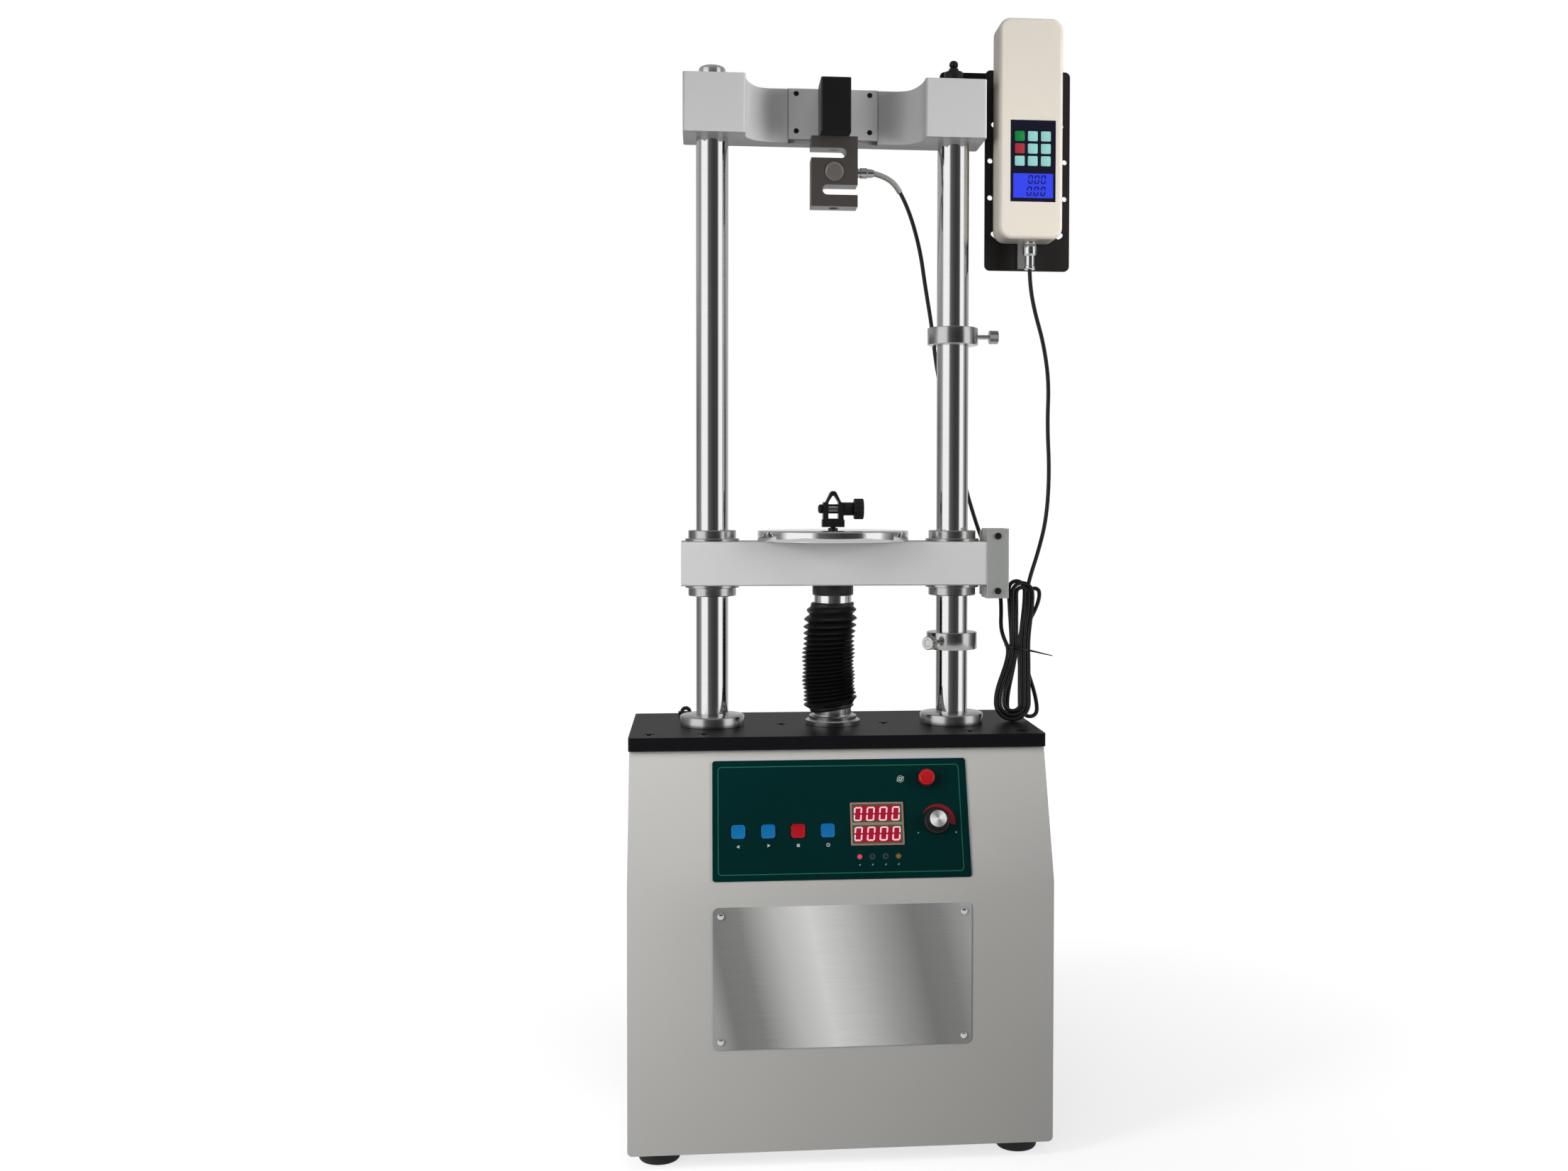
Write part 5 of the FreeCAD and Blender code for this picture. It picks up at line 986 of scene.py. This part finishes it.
collarFit = {"upper": (0.853, 0), "lower": (0.5173, 230)}  # lower face's height, way the screw points
for which, (low, turn) in collarFit.items():
    piece = ringPiece(which + "_collarTurned", collarProfile, (columnX, 0, low), 160)
    settle(piece, "turnedSteel", which + "_collar")
    screw = thumbPiece(which + "_thumb_screwTurned", low, turn)
    settle(screw, "turnedSteel", which + "_thumb_screw", smooth=28)
print("collars made")


# control panel

dress("control_panel", "panelPaint", 0.0003, 1)
dress("control_board", "boardGreen", 0.0002, 1)
panelFit = {"face": 0.0016, "ink": 0.00007, "buttons": [(-0.1065, "blueButton"), (-0.0758, "blueButton"),
    (-0.0451, "redButton"), (-0.0144, "blueButton")], "buttonDrop": 0.0865, "buttonSize": 0.0144,
    "lamps": [(0.0178, "redLed"), (0.031, "ledDark"), (0.0446, "ledDark"), (0.058, "amberLed")],
    "lampDrop": 0.114}


def onPanel(piece, look, node="control_panel", smooth=35):
    # laid on the slope from (x, minus drop, out) and carried by the stand
    return settle(laidOnSlope(piece), look, beside=node, smooth=smooth)


for index, (x, look) in enumerate(panelFit["buttons"]):
    half, middle = (panelFit["buttonSize"] / 2, -panelFit["buttonDrop"])
    cap = padPiece("buttonCap", (x - half, middle - half, -0.0045), (x + half, middle + half, 0.0028), 0.003,
        0.0004, 2, 7)
    openMesh(cap)
    selectFaces(cap, lambda centre, normal: normal.z > 0.99)
    bpy.ops.mesh.inset(thickness=0.001)
    bpy.ops.transform.translate(value=(0, 0, -0.00025))
    closeMesh()
    lip = padPiece("buttonLip", (x - 0.0085, middle - 0.0085, -0.0043), (x + 0.0085, middle + 0.0085, -0.0031),
        0.001, 0.0002)
    stem = turnPiece("buttonStem", [(0.002, -0.009), (0.002, -0.0042)], (x, middle, 0), 32)
    whole = joined("panelButton" + str(index + 1), [cap, lip, stem])
    settle(laidOnSlope(whole), look, "panel_button_" + str(index + 1), smooth=35)


def flatMark(name, sides, radius, x, drop, turn, squeeze):
    # a printed sign: a filled ink shape raised by a hair
    dropSelection()
    bpy.ops.mesh.primitive_circle_add(vertices=sides, radius=radius, fill_type="NGON")
    piece = newest(name)
    piece.scale = (squeeze[0], squeeze[1], 1)
    piece.rotation_euler = (0, 0, math.radians(turn))
    piece.location = (x, -drop, panelFit["face"])
    applyPlace(piece)
    openMesh(piece, "SELECT")
    extruded(0, 0, panelFit["ink"])
    closeMesh()
    mendNormals(piece)
    return piece


def lineLoop(name, left, right, top, bottom, corner, wide):
    # a closed printed line with round corners
    dropSelection()
    bpy.ops.mesh.primitive_plane_add(size=1,
        location=((left + right) / 2, -(top + bottom) / 2, panelFit["face"]))
    piece = newest(name)
    piece.scale = (right - left, bottom - top, 1)
    applyPlace(piece)
    openMesh(piece, "SELECT")
    bpy.ops.mesh.bevel(offset=corner, segments=6, affect="VERTICES")
    bpy.ops.mesh.select_all(action="SELECT")
    bpy.ops.mesh.inset(thickness=wide)
    bpy.ops.mesh.delete(type="FACE")
    bpy.ops.mesh.select_all(action="SELECT")
    extruded(0, 0, panelFit["ink"])
    closeMesh()
    mendNormals(piece)
    return piece


def inkRing(name, inner, outer, x, drop, steps=64):
    face, top = (panelFit["face"], panelFit["face"] + panelFit["ink"])
    return ringPiece(name, [(inner, face), (outer, face), (outer, top), (inner, top)], (x, -drop, 0), steps)


onPanel(lineLoop("panelLine", -0.1276, 0.1256, 0.0186, 0.1305, 0.0042, 0.0009), "lineInk")

# plain signs under the buttons and a turn sign beside the stop knob
marks = []
for name, inner, outer, x, drop in (("holdMark", 0.0011, 0.0019, -0.0144, 0.1012),
        ("turnMark", 0.0009, 0.0021, 0.0633, 0.0339), ("turnRing", 0.0031, 0.0036, 0.0633, 0.0339)):
    marks.append(inkRing(name, inner, outer, x, drop))
for name, sides, radius, x, drop, turn, squeeze in (
    ("upMark", 3, 0.0021, -0.1065, 0.1016, 90, (1, 1)),
    ("downMark", 3, 0.0021, -0.0758, 0.1008, 30, (1, 1)),
    ("haltMark", 4, 0.0022, -0.0451, 0.1012, 45, (1, 1)),
    ("turnArrow", 3, 0.0013, 0.0664, 0.0322, 80, (1, 1)),
    ("turnArrowBack", 3, 0.0013, 0.0602, 0.0356, 260, (1, 1)),
    ("lessMark", 4, 0.0014, 0.0797, 0.0905, 45, (1, 0.3)),
    ("moreMark", 4, 0.0014, 0.1193, 0.0905, 45, (1, 0.3)),
    ("moreMarkUp", 4, 0.0014, 0.1193, 0.0905, 45, (0.3, 1)),
):
    marks.append(flatMark(name, sides, radius, x, drop, turn, squeeze))
for x, look in panelFit["lamps"]:
    marks.append(flatMark("lampMark", 4, 0.0011, x, 0.1222, 45, (1.2, 0.5)))
onPanel(joined("panelMarks", marks), "whiteInk")

# red band that widens round the speed knob
speedAt = (0.0995, 0.0785)
arcFit = {"inner": 0.014, "outer": 0.02, "from": -12, "to": 152, "thin": 0.0162}


def offBand(centre, normal):
    return not arcFit["from"] < math.degrees(math.atan2(centre.y, centre.x)) < arcFit["to"]


band = inkRing("speedBand", arcFit["inner"], arcFit["outer"], 0, 0, 144)
openMesh(band)
selectFaces(band, offBand)
bpy.ops.mesh.delete(type="FACE")


def widened(place):
    share = (math.degrees(math.atan2(place.y, place.x)) - arcFit["from"]) / (arcFit["to"] - arcFit["from"])
    share = min(max(share, 0), 1)
    outer = arcFit["outer"] + (arcFit["thin"] - arcFit["outer"]) * share
    inner = arcFit["inner"] + 0.0012 * share
    reach = outer if place.xy.length > 0.017 else inner
    place.xy = place.xy.normalized() * reach + Vector((speedAt[0], -speedAt[1]))
    return place


moveVerts(band, widened)
onPanel(band, "arcInk")

# display: moulded frame, dark windows and two rows of lit digits
displayFit = {"left": 0.0093, "right": 0.0648, "top": 0.0582, "bottom": 0.1027, "front": 0.0031, "rim": 0.0018,
    "bar": 0.0014, "digit": (0.0084, 0.0148), "stroke": 0.00155, "rows": (0.0702, 0.0907),
    "columns": (0.0172, 0.0304, 0.0436, 0.0568)}
left, right, top, bottom = (displayFit[key] for key in ("left", "right", "top", "bottom"))
front, rim, bar = (displayFit[key] for key in ("front", "rim", "bar"))
frameBody = padPiece("displayFrame", (left, -bottom, -0.003), (right, -top, front), 0.0009, 0.0003, 2, 3)
midDrop = (top + bottom) / 2
windows = []
for start, end in ((top + rim, midDrop - bar), (midDrop + bar, bottom - rim)):
    low = (left + rim, -end, front - 0.0006)
    high = (right - rim, -start, front + 0.001)
    cutter = blockPiece("windowCutter", low, high)
    pick(frameBody)
    cut = frameBody.modifiers.new("window", "BOOLEAN")
    cut.operation = "DIFFERENCE"
    cut.object = cutter
    bpy.ops.object.modifier_apply(modifier=cut.name)
    bpy.data.objects.remove(cutter)
    windows.append(padPiece("displayWindow", (low[0] + 0.0001, low[1] + 0.0001, low[2] - 0.0002),
        (high[0] - 0.0001, high[1] - 0.0001, low[2] + 0.0001), 0.0003, 0.0))
onPanel(frameBody, "displayFrame", "control_board")
onPanel(joined("displayWindows", windows), "windowGlow", "control_board")


def digitBars(name, size, stroke, thick):
    # a nought of six separate bars about the origin, in the XY plane
    wide, tall = size
    upright = tall / 2 - stroke * 1.15
    right, top = (wide / 2 - stroke / 2, tall / 2 - stroke / 2)
    made = []
    for x, y, standing in ((0, top, 0), (right, tall / 4, 1), (right, -tall / 4, 1), (0, -top, 0),
            (-right, -tall / 4, 1), (-right, tall / 4, 1)):
        halfX, halfY = (stroke / 2, upright / 2) if standing else (wide / 2 - stroke * 0.75, stroke / 2)
        made.append(padPiece(name, (x - halfX, y - halfY, 0), (x + halfX, y + halfY, thick), stroke * 0.3, 0.0,
            2, 2))
    figure = joined(name, made)
    moveVerts(figure, lambda place: place + Vector((place.y * 0.1, 0, 0)))
    return figure


zero = digitBars("zeroFigure", displayFit["digit"], displayFit["stroke"], 0.00012)
figures = [copyOf(zero, (x, -drop, front - 0.00052)) for drop in displayFit["rows"]
    for x in displayFit["columns"]]
bpy.data.objects.remove(zero)
onPanel(joined("displayDigits", figures), "digitGlow", "control_board")

rings = []
for x, look in panelFit["lamps"]:
    at = (x, -panelFit["lampDrop"], 0)
    rings.append(ringPiece("lampRing", [(0.0021, -0.001), (0.003, -0.001), (0.003, 0.002), (0.0028, 0.0023),
        (0.0024, 0.0023), (0.0021, 0.0019)], at, 48))
    onPanel(turnPiece("lampLens", [(0.00205, -0.001), (0.00205, 0.0018), (0.0018, 0.0022), (0.0012, 0.0025),
        (0.0004, 0.0026)], at, 40), look, "control_board", 60)
onPanel(joined("lampRings", rings), "ledRing")


def spunHighlightLook(name, centre):
    # turned disc: painted highlights, light and dark sectors round its middle drawn into its colour
    look = Look(name)
    away = look.node("VectorMath", {"operation": "SUBTRACT"},
        {0: look.node("TexCoord", out=3), 1: tuple(centre)})
    side, rise = (look.node("VectorMath", {"operation": "DOT_PRODUCT"}, {0: away, 1: tuple(axis)}, out=1)
        for axis in ((1, 0, 0), slopeTurn.to_3x3().col[1]))
    turn = side.maths("ARCTAN2", rise, side) * 2 + 0.9
    highlightSector = turn.maths("SINE", turn) * 0.5 + 0.5
    # painted highlight: the sectors brighten and darken the colour round the middle of the cap
    look.put(colour=look.ramp(highlightSector, [(0.0, 0.3), (0.45, 0.62), (1.0, 1.0)]), metallic=0.25,
        roughness=highlightSector * 0.1 + 0.25)


stopProfile = [(0.0049, -0.01), (0.005, 0.0049), (0.0078, 0.0049), (0.0085, 0.0055), (0.0085, 0.0098),
    (0.0083, 0.0108), (0.0077, 0.0115), (0.0068, 0.0119), (0.004, 0.0119)]
stopAt = (0.0902, 0.0339)
stopHead = turnPiece("stopHead", stopProfile, steps=96)
settle(laidOnSlope(stopHead, *stopAt), "redKnob", "stop_button", smooth=40)

speedSkirt = turnPiece("speedSkirt", [(0.003, -0.0077), (0.003, 0.0018), (0.0136, 0.0019), (0.014, 0.0022),
    (0.0139, 0.003), (0.0126, 0.0055), (0.012, 0.0059), (0.009, 0.006), (0.0088, 0.0064), (0.0088, 0.0148)],
    steps=192)
knurled(speedSkirt, 32, 0.00035, 0.0062, 0.015, (0, 0, 0), (0, 0, 1))
speedPointer = blockPiece("speedPointer", (-0.0008, 0.0082, 0.0051), (0.0008, 0.0118, 0.0071), 0.0002)
speedBody = joined("speedKnob", [speedSkirt, speedPointer])
settle(laidOnSlope(speedBody, *speedAt), "blackPlastic", "speed_knob")
# the cap's look paints the turned metal's highlight sectors into its colour
spunHighlightLook("spunCapPaintedHighlights", slopePoint(*speedAt, 0.0159))
speedTop = turnPiece("speedTop", [(0.0088, 0.0148), (0.0088, 0.0151), (0.0082, 0.0158), (0.003, 0.0159)],
    steps=96)
settle(laidOnSlope(speedTop, *speedAt), "spunCapPaintedHighlights", "speed_knob")
print("panel made")


# nameplate, bare

# its look paints reflection bands into the brushed metal's colour
dress("nameplate", "plateBrushPaintedBands", 0.0002, 1)


# gauge on its bracket

dress("bracket_arm", "blackSteel", 0.0005, 2)
dress("carrier_plate", "carrierPaint", 0.0003, 2)
rail = blockPiece("guideRail", (0.2074, 0.01295, 0.9404), (0.2206, 0.0151, 1.1401), 0.0003)
settle(rail, "castAlu", "carrier_plate", smooth=30)
dress("gauge_front_shell", "beigePlastic", 0.0004, 2, 30)
dress("gauge_back_shell", "beigePlastic", 0.0004, 2, 30)
dress("gauge_face", "faceBlack", 0.0003, 2)

faceFit = {"front": -0.0246, "keys": (0.2018, 0.2162, 0.2307), "rows": (1.0795, 1.066, 1.0526), "key": 0.0054,
    "lcd": (0.1948, 0.2389, 1.0125, 1.039), "figure": (0.0054, 0.0102), "small": (0.0052, 0.0094)}
keyFront = faceFit["front"]
keyCaps = {"green": [], "red": [], "pale": []}
for rowIndex, z in enumerate(faceFit["rows"]):
    for columnIndex, x in enumerate(faceFit["keys"]):
        half = faceFit["key"]
        cap = padPiece("gaugeKey", (x - half, keyFront - 0.0005, z - half),
            (x + half, keyFront + 0.0002, z + half), 0.0013, 0.0002, 1, 5)
        keyCaps[("green", "red", "pale")[rowIndex] if columnIndex == 0 else "pale"].append(cap)
for tint, caps in keyCaps.items():
    settle(joined("keys_" + tint, caps), "key" + tint.title(), beside="gauge_face", smooth=35)
left, right, low, high = faceFit["lcd"]
screen = padPiece("gaugeScreen", (left, keyFront - 0.00012, low), (right, keyFront + 0.0002, high), 0.0004, 0.0,
    1, 3)
settle(screen, "lcdGlow", beside="gauge_face", smooth=35)


def screenFigure(x, z, size, stroke):
    figure = digitBars("screenFigure", size, stroke, 0.00006)
    figure.rotation_euler = (math.radians(90), 0, 0)
    figure.location = (x, keyFront - 0.00012, z)
    applyPlace(figure)
    return figure


ink = [screenFigure(x, 1.0198, faceFit["figure"], 0.00135) for x in (0.2126, 0.2203, 0.2278)]
ink += [screenFigure(x, 1.0325, faceFit["small"], 0.00125) for x in (0.214, 0.2211, 0.2282)]
ink += [padPiece("pointMark", (x, keyFront - 0.0002, z), (x + 0.001, keyFront - 0.0001, z + 0.001), 0.0003, 0.0,
    1, 2) for x, z in ((0.2158, 1.0147), (0.2172, 1.0278))]
settle(joined("screenFigures", ink), "lcdInk", beside="gauge_face", smooth=35)

knobProfile = [(0.0081, 1.1415), (0.0141, 1.1415), (0.0143, 1.1417), (0.0143, 1.1433), (0.0141, 1.1435),
    (0.0104, 1.1436), (0.0102, 1.1438), (0.0102, 1.1522), (0.01, 1.1525), (0.0058, 1.1526), (0.0056, 1.153),
    (0.0054, 1.156), (0.0042, 1.1572), (0.0034, 1.158), (0.004, 1.1584), (0.0046, 1.1592), (0.0049, 1.1604),
    (0.0048, 1.162), (0.0042, 1.1636), (0.0031, 1.1647), (0.0016, 1.1653)]
clampKnob = turnPiece("clampKnob", knobProfile, (columnX, 0, 0), 120)
settle(clampKnob, "blackSteel", "bracket_knob", smooth=40)
print("gauge made")


# inside pieces keep their CAD shapes with their own looks

insideLooks = {
    "innerSteel": ("ram_housing",),
    "castAlu": ("drive_plate", "power_supply", "screw_pulley", "motor_pulley"),
    "zincSteel": ("screw_bearings", "lead_screw"),
    "motorPaint": ("drive_motor",),
    "rubberBlack": ("drive_belt",),
    "bronze": ("ram_nut",),
    "boardGreen": ("gauge_board",),
}
for look, names in insideLooks.items():
    for name in names:
        nodes[name].data.materials.append(looks[look])


# light, floor and world

def areaLight(name, place, target, size, power):
    dropSelection()
    bpy.ops.object.light_add(type="AREA", location=place)
    lamp = bpy.context.object
    lamp.name = name
    lamp.data.shape = "RECTANGLE"
    lamp.data.size, lamp.data.size_y = size
    lamp.data.energy = power
    lamp.visible_glossy = False
    lamp.rotation_mode = "QUATERNION"
    lamp.rotation_quaternion = (Vector(target) - Vector(place)).to_track_quat("-Z", "Y")
    return lamp


lampFit = [
    ("leftBox", (-1.15, -0.8, 0.72), (-0.15, 0, 0.3), (0.5, 1.1), 5.5, 90),
    ("rightBox", (1.4, -0.85, 1.0), (0, 0, 0.95), (0.6, 0.9), 3.3, 54),
    ("topBox", (0.0, -1.2, 2.6), (0, 0, 0.5), (1.4, 1.0), 11, 180),
]
for name, place, target, size, power, spread in lampFit:
    areaLight(name, place, target, size, power).data.spread = math.radians(spread)

dropSelection()
bpy.ops.mesh.primitive_plane_add(size=5, location=(0, 0, 0))
applyPlace(bpy.context.object)
floor = bpy.context.object
floor.name = "studioFloor"
floorLook = Look("studioWhite")
seenDirect = floorLook.node("LightPath", out=0)
seenMirrored = floorLook.node("LightPath", out=3)
reach = floorLook.node("VectorMath", {"operation": "LENGTH"}, {0: floorLook.node("TexCoord", out=3)}, out=1)
sheet = floorLook.ramp(reach * 0.4, [(0.1, 0.74), (0.35, 0.92), (0.75, 1.0)])
floorLook.put(colour=(0.4, 0.4, 0.4), roughness=0.9, specular=0.0,
    glow=floorLook.mix(seenDirect + seenMirrored * 0.5, (0, 0, 0, 1), sheet), glowStrength=1.0)
floor.data.materials.append(looks["studioWhite"])

# the studio that polished metal shows: two tall white boxes, dark between them
world = bpy.data.worlds.new("studioWorld")
bpy.context.scene.world = world
world.use_nodes = True
skyLook = Look("sky", world.node_tree)
seen = skyLook.node("LightPath", out=0)
mirrored = skyLook.node("LightPath", out=3)
split = skyLook.node("SeparateXYZ", {}, {0: skyLook.node("TexCoord", out=0)})
east, north, height = (Wire(skyLook, split.socket.node.outputs[axis]) for axis in range(3))
bearing = east.maths("ARCTAN2", east, north * -1.0) * (0.5 / math.pi) + 0.5
bands = skyLook.ramp(bearing, [(0.0, 0.85), (0.07, 0.4), (0.12, 0.12), (0.2, 0.2), (0.245, 0.24), (0.265, 0.6),
    (0.285, 1.0), (0.395, 1.0), (0.412, 0.42), (0.428, 0.13), (0.47, 0.075), (0.53, 0.042), (0.59, 0.055),
    (0.611, 0.11), (0.622, 0.5), (0.635, 1.0), (0.7, 1.0), (0.718, 0.5), (0.74, 0.3), (0.775, 0.085),
    (0.81, 0.13), (0.85, 0.4), (0.91, 0.5), (1.0, 0.85)])
overhead = skyLook.ramp(height, [(0.3, 0), (0.62, 1)])
behind = skyLook.ramp(bearing, [(0.16, 1), (0.26, 0), (0.74, 0), (0.84, 1)])
raised = skyLook.ramp(height, [(0.05, 0), (0.15, 1)])
room = skyLook.mix(overhead, skyLook.mix(behind * raised, bands, (0.4, 0.4, 0.4, 1)), (0.3, 0.3, 0.3, 1))
soft = skyLook.mix(seen, (0.13, 0.13, 0.133, 1), (1, 1, 1, 1))
sky = skyLook.mix(mirrored, soft, room)
background = world.node_tree.nodes["Background"]
skyLook.tree.links.new(sky.socket, background.inputs["Color"])
background.inputs["Strength"].default_value = 1.0

bpy.context.scene.view_settings.view_transform = "Standard"
print("studio made")
dropSelection()
